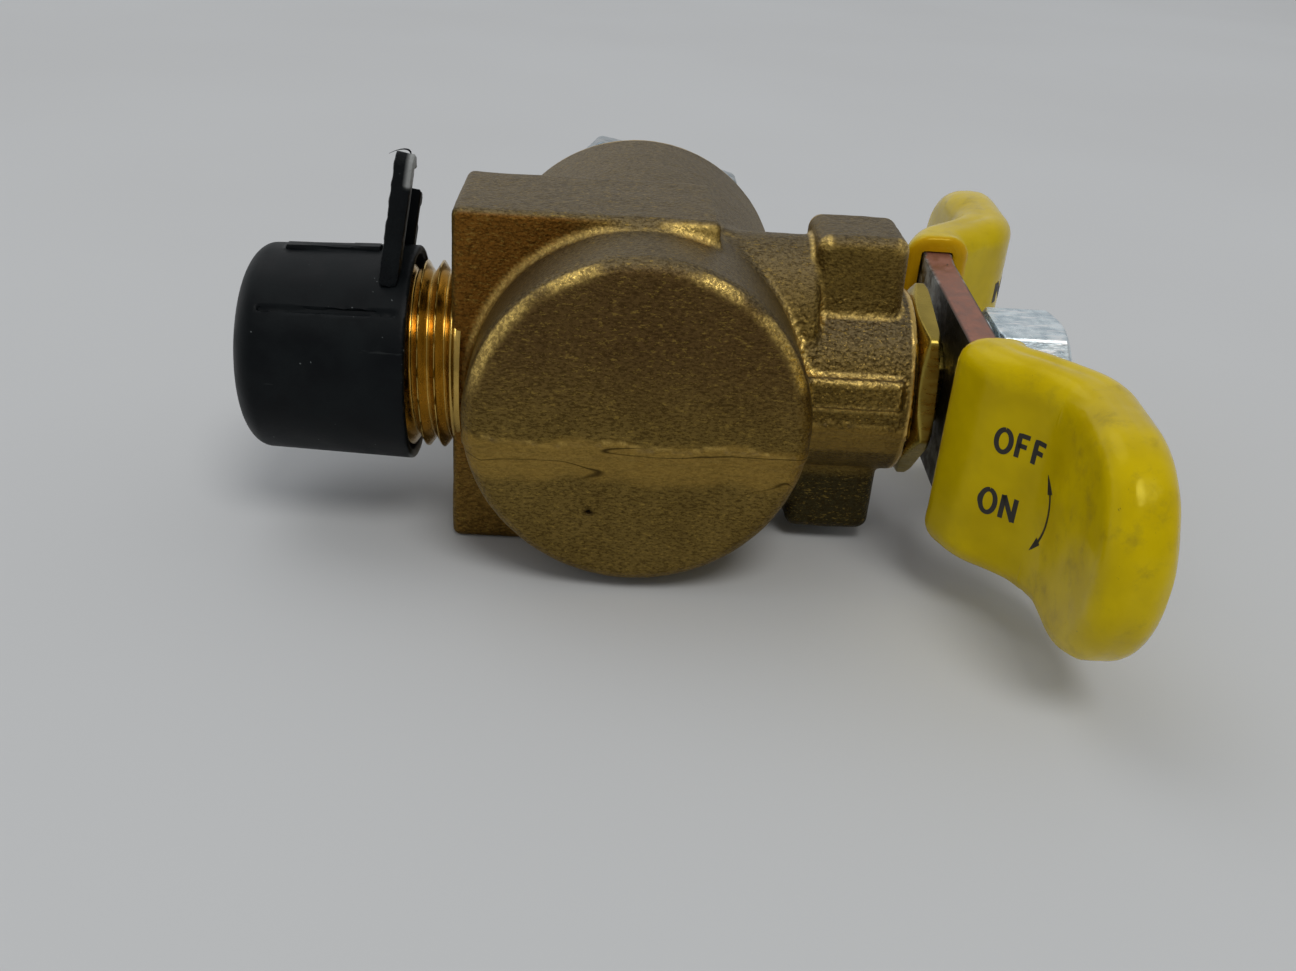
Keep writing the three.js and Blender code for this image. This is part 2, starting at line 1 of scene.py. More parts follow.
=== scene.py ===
"""Looks of the angle ball valve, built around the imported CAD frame.

Lengths in this script are millimetres about the ball's centre, X along the stem and Y towards the
inlet, until add_piece() turns them into metres in the frame. Castings, dipped sleeves and mouldings
are drawn as distance functions and meshed on an even grid. Turned pieces are swept profiles.
"""

import math

import bpy
import numpy as np
from mathutils import Matrix, Vector


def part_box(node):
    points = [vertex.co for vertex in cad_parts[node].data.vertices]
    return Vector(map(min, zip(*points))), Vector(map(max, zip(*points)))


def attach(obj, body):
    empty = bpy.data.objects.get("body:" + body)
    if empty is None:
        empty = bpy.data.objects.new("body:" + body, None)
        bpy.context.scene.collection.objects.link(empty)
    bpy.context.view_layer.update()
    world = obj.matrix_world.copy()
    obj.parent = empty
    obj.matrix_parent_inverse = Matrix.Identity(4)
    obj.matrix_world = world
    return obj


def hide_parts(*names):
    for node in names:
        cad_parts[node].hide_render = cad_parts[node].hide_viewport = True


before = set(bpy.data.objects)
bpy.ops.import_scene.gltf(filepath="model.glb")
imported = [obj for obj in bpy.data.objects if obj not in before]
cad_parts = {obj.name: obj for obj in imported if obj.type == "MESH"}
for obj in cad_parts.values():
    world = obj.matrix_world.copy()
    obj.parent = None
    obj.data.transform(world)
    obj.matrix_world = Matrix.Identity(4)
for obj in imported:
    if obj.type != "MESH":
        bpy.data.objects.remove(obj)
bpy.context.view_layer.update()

MM = 0.001


def middle_of(node):
    low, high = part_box(node)
    return (low + high) / 2


BALL_CENTRE = np.array([0.0, 0.0, middle_of("ball").z])


def span(node, axis):
    """Lowest and highest place of a CAD node along an axis, in millimetres about the ball."""
    low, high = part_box(node)
    return tuple((corner[axis] - BALL_CENTRE[axis]) / MM for corner in (low, high))


# ------------------------------------------------------------------ driving dimensions

BASE = span("valve_body", 2)[0]
BLOCK_LEFT = -20.2
BLOCK_RIGHT = 7.75
BLOCK_HALF_DEPTH = 8.2
BOSS_RADIUS = 18.2
BOSS_FACE = span("valve_body", 1)[0]
REAR_RADIUS = 18.7
REAR_FACE = span("valve_body", 1)[1]
NECK_RADIUS = 10.5
NECK_END = span("valve_body", 0)[1]
LUG_LEFT = 18.5
LUG_RIGHT = 28.5
LUG_TOP = 17.7
LUG_HALF_DEPTH = 5.3
SHOULDER_END = 19.3
SHOULDER_HEIGHT = 16.2
SHOULDER_HALF_DEPTH = 9.4
RIB_LOW = 0.4
RIB_HIGH = 3.8
RIB_FACE = 11.2
PIT_X = -4.6
PIT_Z = -9.6

CHAMBER_RADIUS = 12.6
CHAMBER_FLOOR = -13.6
CHAMBER_END = 14.0
CONNECTOR_THREAD = 14.1
SEAL_SEAT_RADIUS = 16.6
SEAL_SEAT_DEPTH = 2.5
COLLAR_RADIUS = 6.9
POCKET_END = 15.9
PACKING_START = 18.9
PACKING_RADIUS = 7.2
GLAND_THREAD_START = 25.4
GLAND_THREAD_RADIUS = 8.5

THREAD_PITCH = 1.814
THREAD_DEPTH = 1.25
THREAD_TAPER = 1 / 32
OUTLET_END = span("valve_body", 0)[0]
OUTLET_CREST = 10.65
OUTLET_BORE = 6.0
INLET_BORE = 9.6
INLET_DEPTH = 16.0
CONNECTOR_FACE = span("inlet_connector", 1)[1]
CONNECTOR_HEX = 18.8
CONNECTOR_TURN = math.radians(47.5)

BALL_RADIUS = 11.0
BALL_PORT = 5.5
STEM_RADIUS = 4.7
STEM_END = span("stem", 0)[1]
STEM_FLAT = 3.6
CLEARANCE = 0.3

HANDLE_TILT = 0.065
PLATE_LEFT = span("handle_plate", 0)[0]
PLATE_THICKNESS = 3.5
PLATE_HALF_WIDTH = 9.8
WING_HALF_WIDTH = 10.5
BEND_START = 14.7
BEND_RADIUS = 4.5
BEND_ANGLE = 0.9
SLOPE_LENGTH = 6.0
FLAT_LENGTH = 17.8
SLEEVE_WALL = 1.75
SLEEVE_START = 14.2
POOL_RADIUS = 6.5
BEND_LENGTH = BEND_RADIUS * BEND_ANGLE
WING_LENGTH = BEND_START + 2 * BEND_LENGTH + SLOPE_LENGTH + FLAT_LENGTH

NUT_CORNER = 11.2
HANDLE_NUT_CORNER = 9.0
NUT_TURN = math.radians(136)
HANDLE_NUT_TURN = 0.035
WASHER_GAP_PLACE = 2.2
WASHER_HALF_GAP = 0.1
WASHER_STEPS = 72

CAP_END = span("outlet_cap", 0)[0]
CAP_MOUTH = span("outlet_cap", 0)[1]
CAP_MOUTH_RADIUS = 12.1
CAP_TAPER = 0.035
CAP_BORE = 11.0
CAP_DOME_DEPTH = 3.0
CAP_DOME_RADIUS = 5.0
CAP_END_WALL = 1.7
CAP_RIB_HALF_WIDTH = 0.8
CAP_GROOVE_ANGLE = math.radians(40.5)
TAB_LEAN = 0.15
TAB_THICKNESS = 2.0
TAB_HALF_WIDTH = 7.0
TAB_LENGTH = 12.45
BURR_Y = -5.2
BURR_RADIUS = 0.13
BURR_SIDES = 6
BURR_STEPS = 12


# ------------------------------------------------------------------ distance functions


def drum(across, beside, along, radius, low, high, edge):
    """A cylinder with rounded rims."""
    radial = np.hypot(across, beside) - radius + edge
    axial = np.abs(along - (low + high) / 2) - (high - low) / 2 + edge
    outside = np.hypot(np.maximum(radial, 0), np.maximum(axial, 0))
    return outside + np.minimum(np.maximum(radial, axial), 0) - edge


def slab(x, y, z, low, high, edge):
    """A box with rounded edges."""
    gaps = []
    for value, a, b in zip((x, y, z), low, high):
        gaps.append(np.abs(value - (a + b) / 2) - (b - a) / 2 + edge)
    outside = np.sqrt(sum(np.maximum(gap, 0) ** 2 for gap in gaps))
    deepest = np.maximum(np.maximum(gaps[0], gaps[1]), gaps[2])
    return outside + np.minimum(deepest, 0) - edge


def ellipse(a, b, half_a, half_b):
    """Nearly the distance to an ellipse."""
    size = np.hypot(a / half_a, b / half_b) + 1e-9
    slope = np.hypot(a / half_a**2, b / half_b**2) + 1e-9
    return size * (size - 1) / slope


def join(first, second, fillet):
    """The union of two shapes, with a round fillet between them."""
    reach = np.hypot(np.maximum(fillet - first, 0), np.maximum(fillet - second, 0))
    return np.maximum(fillet, np.minimum(first, second)) - reach


def meet(first, second, edge):
    """What two shapes share, with a rounded edge between their faces."""
    return -join(-first, -second, edge)


def cut(shape, tool, edge=0.05):
    return meet(shape, -tool, edge)


# ------------------------------------------------------------------ meshing

CORNERS = [(i, j, k) for i in (0, 1) for j in (0, 1) for k in (0, 1)]


def surface_net(distance, low, high, step):
    """Vertices on a distance function's zero level and the quads between them."""
    axes = [a + step * np.arange(int((b - a) / step) + 2) for a, b in zip(low, high)]
    field = distance(*np.meshgrid(*axes, indexing="ij")).astype(np.float32)
    inside = field < 0
    shape = [n - 1 for n in field.shape]

    def corner(grid, offset):
        return grid[tuple(slice(o, o + n) for o, n in zip(offset, shape))]

    count = sum(corner(inside, c).astype(np.int8) for c in CORNERS)
    active = (count > 0) & (count < 8)
    cells = np.argwhere(active)
    number = np.full(shape, -1, np.int64)
    number[active] = np.arange(len(cells))

    values = {c: corner(field, c)[active] for c in CORNERS}
    total = np.zeros((len(cells), 3))
    crossings = np.zeros(len(cells))
    for start in CORNERS:
        for axis in range(3):
            if start[axis]:
                continue
            end = tuple(1 if a == axis else s for a, s in enumerate(start))
            f0, f1 = values[start], values[end]
            crossed = (f0 < 0) != (f1 < 0)
            share = np.where(crossed, f0 / np.where(crossed, f0 - f1, 1), 0)
            place = np.array(start, float) + share[:, None] * np.eye(3)[axis]
            total += place * crossed[:, None]
            crossings += crossed
    points = np.array(low) + step * (cells + total / crossings[:, None])

    quads = []
    for axis in range(3):
        u, v = (axis + 1) % 3, (axis + 2) % 3
        near = [slice(None)] * 3
        far = [slice(None)] * 3
        near[axis], far[axis] = slice(None, -1), slice(1, None)
        leaving = inside[tuple(near)]
        changed = leaving != inside[tuple(far)]
        edges = np.argwhere(changed)
        edges = edges[(edges[:, u] > 0) & (edges[:, v] > 0)]
        edges = edges[(edges[:, u] < field.shape[u] - 1) & (edges[:, v] < field.shape[v] - 1)]
        ring = []
        for du, dv in ((-1, -1), (0, -1), (0, 0), (-1, 0)):
            cell = edges.copy()
            cell[:, u] += du
            cell[:, v] += dv
            ring.append(number[tuple(cell.T)])
        quad = np.stack(ring, 1)
        outward = leaving[tuple(edges.T)]
        quad[~outward] = quad[~outward][:, ::-1]
        quads.append(quad)
    return settle(distance, points, step), np.concatenate(quads)


def slope_of(distance, points, reach=0.02):
    """The distance at each point, and the direction in which it grows."""
    gradient = np.empty_like(points)
    for axis in range(3):
        shift = reach * np.eye(3)[axis]
        gradient[:, axis] = distance(*(points + shift).T) - distance(*(points - shift).T)
    return distance(*points.T), gradient / (2 * reach)


def settle(distance, points, step):
    """Moves points onto the zero level."""
    for _ in range(3):
        value, gradient = slope_of(distance, points)
        steepness = np.maximum((gradient**2).sum(1), 0.25)
        move = -(value / steepness)[:, None] * gradient
        length = np.linalg.norm(move, axis=1, keepdims=True)
        points = points + move * np.minimum(1, 0.5 * step / np.maximum(length, 1e-9))
    return points


def bend_of(distance, points, reach):
    """How sharply the surface turns: above zero on an edge and below zero in a hollow."""
    total = -6 * distance(*points.T)
    for axis in range(3):
        shift = reach * np.eye(3)[axis]
        total += distance(*(points + shift).T) + distance(*(points - shift).T)
    return total / reach


def ease(value, low, high):
    """0 below low, 1 above high, and a smooth change between."""
    share = np.clip((value - low) / (high - low), 0, 1)
    return share * share * (3 - 2 * share)


def undulation(points, size, seed):
    """Smooth seeded noise from -1 to 1, with waves of about the given size."""
    count = 24
    lattice = np.random.default_rng(seed).uniform(-1, 1, (count, count, count))
    place = points / size + 1000
    cell = np.floor(place).astype(int)
    share = place - cell
    share = share * share * (3 - 2 * share)
    total = np.zeros(len(points))
    for offset in CORNERS:
        index = (cell + offset) % count
        weight = np.prod(np.where(offset, share, 1 - share), axis=1)
        total += weight * lattice[tuple(index.T)]
    return total


def softened(profile, fillet, closed=False, steps=3):
    """A profile with its corners rounded."""
    points = [np.array(p, float) for p in profile]
    last = len(points) - 1
    out = []
    for i, here in enumerate(points):
        if not closed and i in (0, last):
            out.append(here)
            continue
        back, on = points[i - 1] - here, points[(i + 1) % len(points)] - here
        back_length, on_length = np.linalg.norm(back), np.linalg.norm(on)
        cosine = np.clip(back @ on / (back_length * on_length), -1, 1)
        turn = math.pi - math.acos(cosine)
        if turn < 0.05:
            out.append(here)
            continue
        reach = min(fillet * math.tan(min(turn, 2.6) / 2), 0.45 * back_length, 0.45 * on_length)
        start, end = here + back / back_length * reach, here + on / on_length * reach
        for t in np.linspace(0, 1, steps + 1):
            out.append((1 - t) ** 2 * start + 2 * t * (1 - t) * here + t * t * end)
    return out


def refined(profile, spacing, closed=False):
    """A profile with more points along its long stretches."""
    ends = list(zip(profile, profile[1:] + profile[:1])) if closed else list(zip(profile, profile[1:]))
    out = []
    for start, end in ends:
        start, end = np.array(start, float), np.array(end, float)
        count = max(1, math.ceil(np.linalg.norm(end - start) / spacing))
        out += [start + (end - start) * i / count for i in range(count)]
    if not closed:
        out.append(np.array(profile[-1], float))
    return out


def even_angles(segments):
    return 2 * math.pi * np.arange(segments) / segments


def hexagon_angles(first_corner):
    """Angles that are close together at a hexagon's corners."""
    offsets = np.radians([-3, -1.6, -0.7, 0, 0.7, 1.6, 3, 6, 11, 17, 23, 30, 37, 43, 49, 54])
    return np.concatenate([first_corner + side * math.pi / 3 + offsets for side in range(6)])


def lesser(first, second, edge):
    """The smaller of two lengths, eased where they are nearly equal."""
    near = np.maximum(edge - np.abs(first - second), 0) / edge
    return np.minimum(first, second) - near * near * edge / 4


def hexagon_limit(corner_radius, first_corner):
    """How far a hexagonal prism reaches, as a limit on a turned profile."""
    flat = corner_radius * math.cos(math.pi / 6)

    def limit(radius, angle, along):
        from_corner = (angle - first_corner) % (math.pi / 3)
        reach = flat / np.cos(from_corner - math.pi / 6)
        reach = np.minimum(reach, corner_radius - 0.12)
        return lesser(reach, radius, 0.25)

    return limit


def turned(profile, axis="x", angles=None, limit=None):
    """A profile of (radius, place along the axis) pairs, swept round an axis."""
    angles = even_angles(96) if angles is None else angles
    count = len(angles)
    closed = profile[0][0] > 1e-6
    points, rows = [], []
    for radius, along in profile:
        if radius < 1e-6:
            rows.append([len(points)] * count)
            points.append((0.0, 0.0, along))
            continue
        reach = np.full(count, radius)
        if limit is not None:
            reach = limit(reach, angles, np.full(count, along))
        rows.append(list(range(len(points), len(points) + count)))
        points += list(zip(reach * np.cos(angles), reach * np.sin(angles), [along] * count))
    pairs = list(zip(rows, rows[1:] + rows[:1])) if closed else list(zip(rows, rows[1:]))
    faces = []
    for lower, upper in pairs:
        for i in range(count):
            j = (i + 1) % count
            face = [lower[i], lower[j], upper[j], upper[i]]
            face = [v for n, v in enumerate(face) if v != face[n - 1]]
            if len(face) > 2:
                faces.append(face)
    a, b, along = np.array(points).T
    points = np.stack([along, a, b], 1) if axis == "x" else np.stack([a, along, b], 1)
    return points, outward(points, faces)


def outward(points, faces):
    """The same faces, turned so that their normals point out."""
    volume = 0.0
    for face in faces:
        first = points[face[0]]
        for second, third in zip(face[1:], face[2:]):
            volume += first @ np.cross(points[second], points[third])
    return faces if volume > 0 else [face[::-1] for face in faces]


def joined(*meshes):
    """Several closed meshes as one."""
    points, faces, start = [], [], 0
    for some_points, some_faces in meshes:
        points.append(np.asarray(some_points))
        faces += [[v + start for v in face] for face in some_faces]
        start += len(some_points)
    return np.concatenate(points), faces


def swept(rings):
    """A closed mesh through a row of rings that have the same number of points."""
    count = len(rings[0])
    last = (len(rings) - 1) * count
    faces = []
    for start in range(0, last, count):
        for i in range(count):
            a, b = start + i, start + (i + 1) % count
            faces.append([a, b, b + count, a + count])
    faces.append(list(range(count))[::-1])
    faces.append([last + i for i in range(count)])
    points = np.concatenate(rings)
    return points, outward(points, faces)


def add_piece(name, mesh, finish, body, replaces=(), marks=None, crease=40):
    """Makes a mesh a piece of the object. Its points turn from millimetres to the frame's metres."""
    points, faces = mesh
    data = bpy.data.meshes.new(name)
    faces = faces.tolist() if isinstance(faces, np.ndarray) else faces
    data.from_pydata((np.asarray(points) * MM + BALL_CENTRE).tolist(), [], faces)
    data.polygons.foreach_set("use_smooth", [True] * len(data.polygons))
    data.set_sharp_from_angle(angle=math.radians(crease))
    for mark, values in (marks or {}).items():
        attribute = data.attributes.new(mark, "FLOAT", "POINT")
        attribute.data.foreach_set("value", np.asarray(values, np.float32))
    data.materials.append(finish)
    piece = bpy.data.objects.new(name, data)
    bpy.context.scene.collection.objects.link(piece)
    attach(piece, body)
    if replaces:
        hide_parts(*replaces)
    return piece


# ------------------------------------------------------------------ materials


class Paint:
    """A principled material, with short calls for the nodes that feed it."""

    def __init__(self, name, colour, roughness, metallic=0.0):
        self.material = bpy.data.materials.new(name)
        self.material.use_nodes = True
        self.tree = self.material.node_tree
        self.shader = self.tree.nodes["Principled BSDF"]
        self.shader.inputs["Base Color"].default_value = (*colour, 1)
        self.shader.inputs["Roughness"].default_value = roughness
        self.shader.inputs["Metallic"].default_value = metallic
        self.place = self.node("ShaderNodeTexCoord").outputs["Object"]
        self.last_bump = None

    def node(self, kind, **settings):
        node = self.tree.nodes.new(kind)
        for key, value in settings.items():
            setattr(node, key, value)
        return node

    def feed(self, socket, value):
        if isinstance(value, bpy.types.NodeSocket):
            self.tree.links.new(value, socket)
        elif isinstance(value, tuple) and len(value) == 3 and len(socket.default_value) == 4:
            socket.default_value = (*value, 1)
        else:
            socket.default_value = value

    def stretched(self, stretch):
        mapping = self.node("ShaderNodeMapping")
        self.feed(mapping.inputs["Vector"], self.place)
        mapping.inputs["Scale"].default_value = stretch
        return mapping.outputs["Vector"]

    def noise(self, size, detail=3.0, stretch=None, roughness=0.5, shift=0.0):
        """Noise with waves of a size given in millimetres."""
        node = self.node("ShaderNodeTexNoise")
        self.feed(node.inputs["Vector"], self.stretched(stretch) if stretch else self.place)
        node.inputs["Scale"].default_value = 1 / (size * MM)
        node.inputs["Detail"].default_value = detail
        node.inputs["Roughness"].default_value = roughness
        node.inputs["Distortion"].default_value = shift
        return node.outputs["Fac"]

    def grains(self, size, stretch=None):
        node = self.node("ShaderNodeTexVoronoi", feature="SMOOTH_F1")
        self.feed(node.inputs["Vector"], self.stretched(stretch) if stretch else self.place)
        node.inputs["Scale"].default_value = 1 / (size * MM)
        return node.outputs["Distance"]

    def mark(self, name):
        node = self.node("ShaderNodeAttribute", attribute_name=name)
        return node.outputs["Fac"]

    def window(self, value, low, high, to_low=0.0, to_high=1.0):
        node = self.node("ShaderNodeMapRange", interpolation_type="SMOOTHSTEP")
        for name, amount in (("Value", value), ("From Min", low), ("From Max", high)):
            self.feed(node.inputs[name], amount)
        self.feed(node.inputs["To Min"], to_low)
        self.feed(node.inputs["To Max"], to_high)
        return node.outputs["Result"]

    def maths(self, operation, first, second):
        node = self.node("ShaderNodeMath", operation=operation, use_clamp=False)
        self.feed(node.inputs[0], first)
        self.feed(node.inputs[1], second)
        return node.outputs[0]

    def times(self, first, second):
        return self.maths("MULTIPLY", first, second)

    def blend(self, share, first, second):
        node = self.node("ShaderNodeMix", data_type="RGBA")
        self.feed(node.inputs["Factor"], share)
        self.feed(node.inputs[6], first)
        self.feed(node.inputs[7], second)
        return node.outputs[2]

    def bump(self, height, depth, strength=1.0):
        """A bump whose height of 1 stands for a depth in millimetres."""
        node = self.node("ShaderNodeBump")
        self.feed(node.inputs["Height"], height)
        node.inputs["Distance"].default_value = depth * MM
        self.feed(node.inputs["Strength"], strength)
        if self.last_bump is not None:
            self.feed(node.inputs["Normal"], self.last_bump)
        self.last_bump = node.outputs["Normal"]
        self.feed(self.shader.inputs["Normal"], self.last_bump)

    def set(self, name, value):
        self.feed(self.shader.inputs[name], value)


def cast_brass():
    """Sand-cast brass: dull brown with bright grains, painted gold highlights on edges and in the fillets,
    a painted sky sheen with dust on up-facing faces, and painted shade on the lower lug.
    """
    paint = Paint("cast_brass", (0.2, 0.13, 0.035), 0.5, 1.0)
    cloud = paint.window(paint.noise(5.0, 4.0, roughness=0.6), 0.3, 0.7)
    brown = paint.blend(cloud, (0.200, 0.132, 0.034), (0.262, 0.176, 0.047))
    # The boss face is darkened towards its top.
    brown = paint.blend(paint.mark("darker_top"), brown, (0.140, 0.082, 0.028))
    # Painted shade: the lower lug under the neck is darkened nearly to black.
    brown = paint.blend(paint.mark("lug_shade"), brown, (0.060, 0.050, 0.022))
    brown = paint.blend(paint.mark("ruddy"), brown, (0.250, 0.108, 0.018))
    # Up-facing faces turn greyer: a painted sheen of the bright sky above, with dust.
    brown = paint.blend(paint.mark("sheen_and_dust"), brown, (0.190, 0.144, 0.074))
    speck = paint.window(paint.noise(0.28, 3.0, (0.5, 1.0, 1.2), 0.8), 0.38, 0.58)
    dark = paint.blend(0.62, brown, (0.03, 0.015, 0.003))
    skin = paint.blend(speck, dark, brown)
    glint = paint.window(paint.noise(0.30, 3.0, (0.45, 1.0, 1.2), 0.8), 0.56, 0.66)
    skin = paint.blend(paint.times(glint, 0.5), skin, (0.44, 0.295, 0.065))
    gold = (0.66, 0.44, 0.11)
    sparkle = paint.window(paint.noise(0.30, 2.0, (0.8, 1.0, 1.4), 0.85), 0.635, 0.70)
    grainy = paint.window(paint.mark("coarse"), 0, 1, 0.16, 0.9)
    skin = paint.blend(paint.times(sparkle, grainy), skin, gold)
    streak = paint.window(paint.noise(0.5, 4.0, (0.25, 1.0, 1.2), 0.7), 0.3, 0.7, 0.55, 1)
    band = paint.times(paint.mark("band"), streak)
    skin = paint.blend(paint.times(band, 0.5), skin, (0.48, 0.30, 0.065))
    # Painted highlights: the edge and hollow marks turn the brass gold where rims and fillets catch the
    # light, broken into flecks.
    flecks = paint.window(paint.noise(0.5, 3.0, roughness=0.8), 0.42, 0.60)
    rubbed = paint.times(paint.mark("edge"), paint.window(flecks, 0, 1, 0.35, 1))
    hollow = paint.times(paint.mark("hollow"), paint.window(flecks, 0, 1, 0.55, 1))
    painted_highlight = paint.maths("MAXIMUM", rubbed, hollow)
    colour = paint.blend(painted_highlight, skin, (0.95, 0.66, 0.19))
    wander = paint.maths("SUBTRACT", paint.noise(2.6, 1.0, (0.10, 1.0, 0.9), 0.4), 0.5)
    crack = paint.window(paint.maths("ABSOLUTE", wander, 0.0), 0.0, 0.010, 0.85, 0.0)
    crack = paint.times(crack, paint.mark("cracked"))
    crack = paint.maths("MAXIMUM", crack, paint.mark("pit"))
    colour = paint.blend(crack, colour, (0.03, 0.017, 0.005))
    machined = paint.mark("machined")
    paint.set("Base Color", paint.blend(machined, colour, (0.70, 0.47, 0.14)))
    dull = paint.window(painted_highlight, 0, 1, 0.50, 0.26)
    paint.set("Roughness", paint.window(machined, 0, 1, dull, 0.24))
    rough_skin = paint.maths("SUBTRACT", 1.0, machined)
    paint.bump(paint.noise(3.0, 3.0), 0.22, paint.times(rough_skin, 0.4))
    fine = paint.maths("ADD", paint.grains(0.36), paint.noise(0.25, 3.0, roughness=0.75))
    paint.bump(fine, 0.10, paint.times(rough_skin, 0.9))
    coarse = paint.times(paint.mark("coarse"), rough_skin)
    paint.bump(paint.grains(0.50), 0.26, paint.times(coarse, 0.9))
    return paint.material


def machined_brass(name, colour, roughness, stretch):
    """Bright brass with the fine lines that a cutter leaves."""
    paint = Paint(name, colour, roughness, 1.0)
    patch = paint.window(paint.noise(3.0, 3.0), 0.3, 0.7)
    dark = tuple(0.85 * c for c in colour)
    pale = (min(1.0, 1.05 * colour[0]), 1.05 * colour[1], 1.1 * colour[2])
    paint.set("Base Color", paint.blend(patch, dark, pale))
    lines = paint.noise(0.5, 3.0, stretch, 0.6)
    paint.set("Roughness", paint.window(lines, 0.3, 0.7, roughness - 0.06, roughness + 0.10))
    paint.bump(lines, 0.012, 0.4)
    return paint.material


def zinc_plate(name, level):
    """Bright zinc plate with pale drawn streaks."""
    paint = Paint(name, (0.72, 0.76, 0.80), 0.3, 0.85)
    streaks = paint.noise(0.8, 4.0, (0.22, 1.0, 1.0), 0.75)
    patch = paint.noise(1.6, 3.0)
    dark = (0.52 * level, 0.62 * level, 0.68 * level)
    pale = (0.88 * level, 0.97 * level, level)
    colour = paint.blend(paint.window(patch, 0.3, 0.7), dark, pale)
    colour = paint.blend(paint.window(streaks, 0.50, 0.64), colour, (level, level, level))
    paint.set("Base Color", colour)
    paint.set("Roughness", paint.window(streaks, 0.3, 0.7, 0.22, 0.42))
    paint.bump(streaks, 0.07, 0.8)
    return paint.material


def handle_steel():
    """Plated strip: faces painted nearly black as painted shade, a painted lit patch near the far sleeve,
    and sheared edges with a pinkish primer.
    """
    paint = Paint("handle_steel", (0.3, 0.3, 0.28), 0.45, 0.9)
    sheared = paint.mark("sheared")
    cloud = paint.window(paint.noise(1.6, 4.0, roughness=0.65), 0.35, 0.65)
    pink = paint.blend(cloud, (0.215, 0.085, 0.052), (0.330, 0.145, 0.098))
    nicks = paint.window(paint.noise(0.6, 2.0, (1.0, 0.25, 1.0), 0.8), 0.68, 0.74)
    pink = paint.blend(nicks, pink, (0.10, 0.06, 0.045))
    # Painted shade: the strip's faces are nearly black, as where they lie in shadow.
    face = paint.blend(cloud, (0.030, 0.027, 0.019), (0.055, 0.050, 0.038))
    # Painted highlight: a grey lit patch on the face near the far sleeve.
    face = paint.blend(paint.times(paint.mark("lit_patch"), cloud), face, (0.45, 0.47, 0.46))
    paint.set("Base Color", paint.blend(sheared, face, pink))
    paint.set("Metallic", paint.window(sheared, 0, 1, 0.95, 0.15))
    paint.set("Roughness", paint.window(cloud, 0, 1, 0.36, 0.58))
    paint.bump(paint.noise(0.5, 3.0, (1.0, 0.4, 1.0), 0.7), 0.06, 0.6)
    return paint.material


def yellow_vinyl():
    """Dipped vinyl, smooth and half glossy, with grime in the creases, dark scuffs and painted shade at the
    sleeve's mouth.
    """
    paint = Paint("yellow_vinyl", (0.80, 0.62, 0.005), 0.32)
    cloud = paint.window(paint.noise(7.0, 3.0), 0.3, 0.7)
    colour = paint.blend(cloud, (0.56, 0.40, 0.001), (0.69, 0.505, 0.001))
    grime = paint.window(paint.noise(3.0, 5.0, roughness=0.7), 0.48, 0.78)
    grime = paint.times(grime, paint.window(paint.mark("rubbed"), 0, 1, 0.08, 0.5))
    colour = paint.blend(grime, colour, (0.23, 0.165, 0.022))
    scuffs = paint.window(paint.noise(0.8, 3.0, (1.0, 0.35, 0.8), 0.75), 0.70, 0.77)
    scuffs = paint.times(scuffs, paint.window(paint.mark("rubbed"), 0, 1, 0.2, 0.75))
    colour = paint.blend(scuffs, colour, (0.055, 0.045, 0.02))
    # Painted shade: the sleeve's mouth is tinted orange, as in the shadowed opening.
    colour = paint.blend(paint.mark("lip"), colour, (0.62, 0.30, 0.004))
    paint.set("Base Color", colour)
    paint.shader.inputs["Specular IOR Level"].default_value = 0.5
    paint.shader.inputs["Specular Tint"].default_value = (1.0, 0.88, 0.15, 1)
    paint.set("Roughness", paint.window(paint.noise(1.2, 4.0), 0.3, 0.7, 0.15, 0.27))
    paint.bump(paint.noise(4.0, 2.0), 0.16, 0.5)
    paint.bump(paint.noise(0.5, 3.0), 0.02, 0.5)
    return paint.material


def black_plastic():
    """Moulded polyethylene, a little cloudy, with fine scratches and pale specks."""
    paint = Paint("black_plastic", (0.012, 0.016, 0.018), 0.42)
    cloud = paint.window(paint.noise(4.0, 4.0), 0.3, 0.7)
    colour = paint.blend(cloud, (0.0020, 0.0030, 0.0040), (0.0050, 0.0070, 0.0080))
    specks = paint.window(paint.noise(0.7, 1.0, roughness=0.9), 0.765, 0.80)
    colour = paint.blend(specks, colour, (0.10, 0.11, 0.11))
    hairs = paint.window(paint.noise(1.1, 3.0, (0.12, 1.0, 1.0), 0.8), 0.70, 0.76)
    colour = paint.blend(paint.times(hairs, 0.15), colour, (0.10, 0.11, 0.11))
    colour = paint.blend(paint.mark("stressed"), colour, (0.42, 0.43, 0.42))
    paint.set("Base Color", colour)
    paint.shader.inputs["Specular IOR Level"].default_value = 0.13
    paint.set("Roughness", paint.window(cloud, 0, 1, 0.42, 0.52))
    paint.bump(paint.noise(0.35, 3.0, roughness=0.6), 0.02, 0.6)
    torn = paint.mark("torn")
    paint.bump(paint.noise(0.5, 4.0, roughness=0.75), 0.2, paint.times(torn, 0.8))
    return paint.material


def plain_finish(name, colour, roughness, metallic, size, depth):
    """A finish with slight clouding and a fine surface."""
    paint = Paint(name, colour, roughness, metallic)
    cloud = paint.window(paint.noise(size, 3.0), 0.3, 0.7)
    dark = tuple(0.85 * c for c in colour)
    paint.set("Base Color", paint.blend(cloud, dark, colour))
    paint.set("Roughness", paint.window(cloud, 0, 1, roughness - 0.05, roughness + 0.08))
    paint.bump(paint.noise(0.4, 3.0), depth, 0.5)
    return paint.material


# ------------------------------------------------------------------ body casting


def shoulder_distance(x, y, z):
    oval = ellipse(y, z, SHOULDER_HALF_DEPTH, SHOULDER_HEIGHT)
    return meet(oval, np.maximum(-x, x - SHOULDER_END), 1.2)


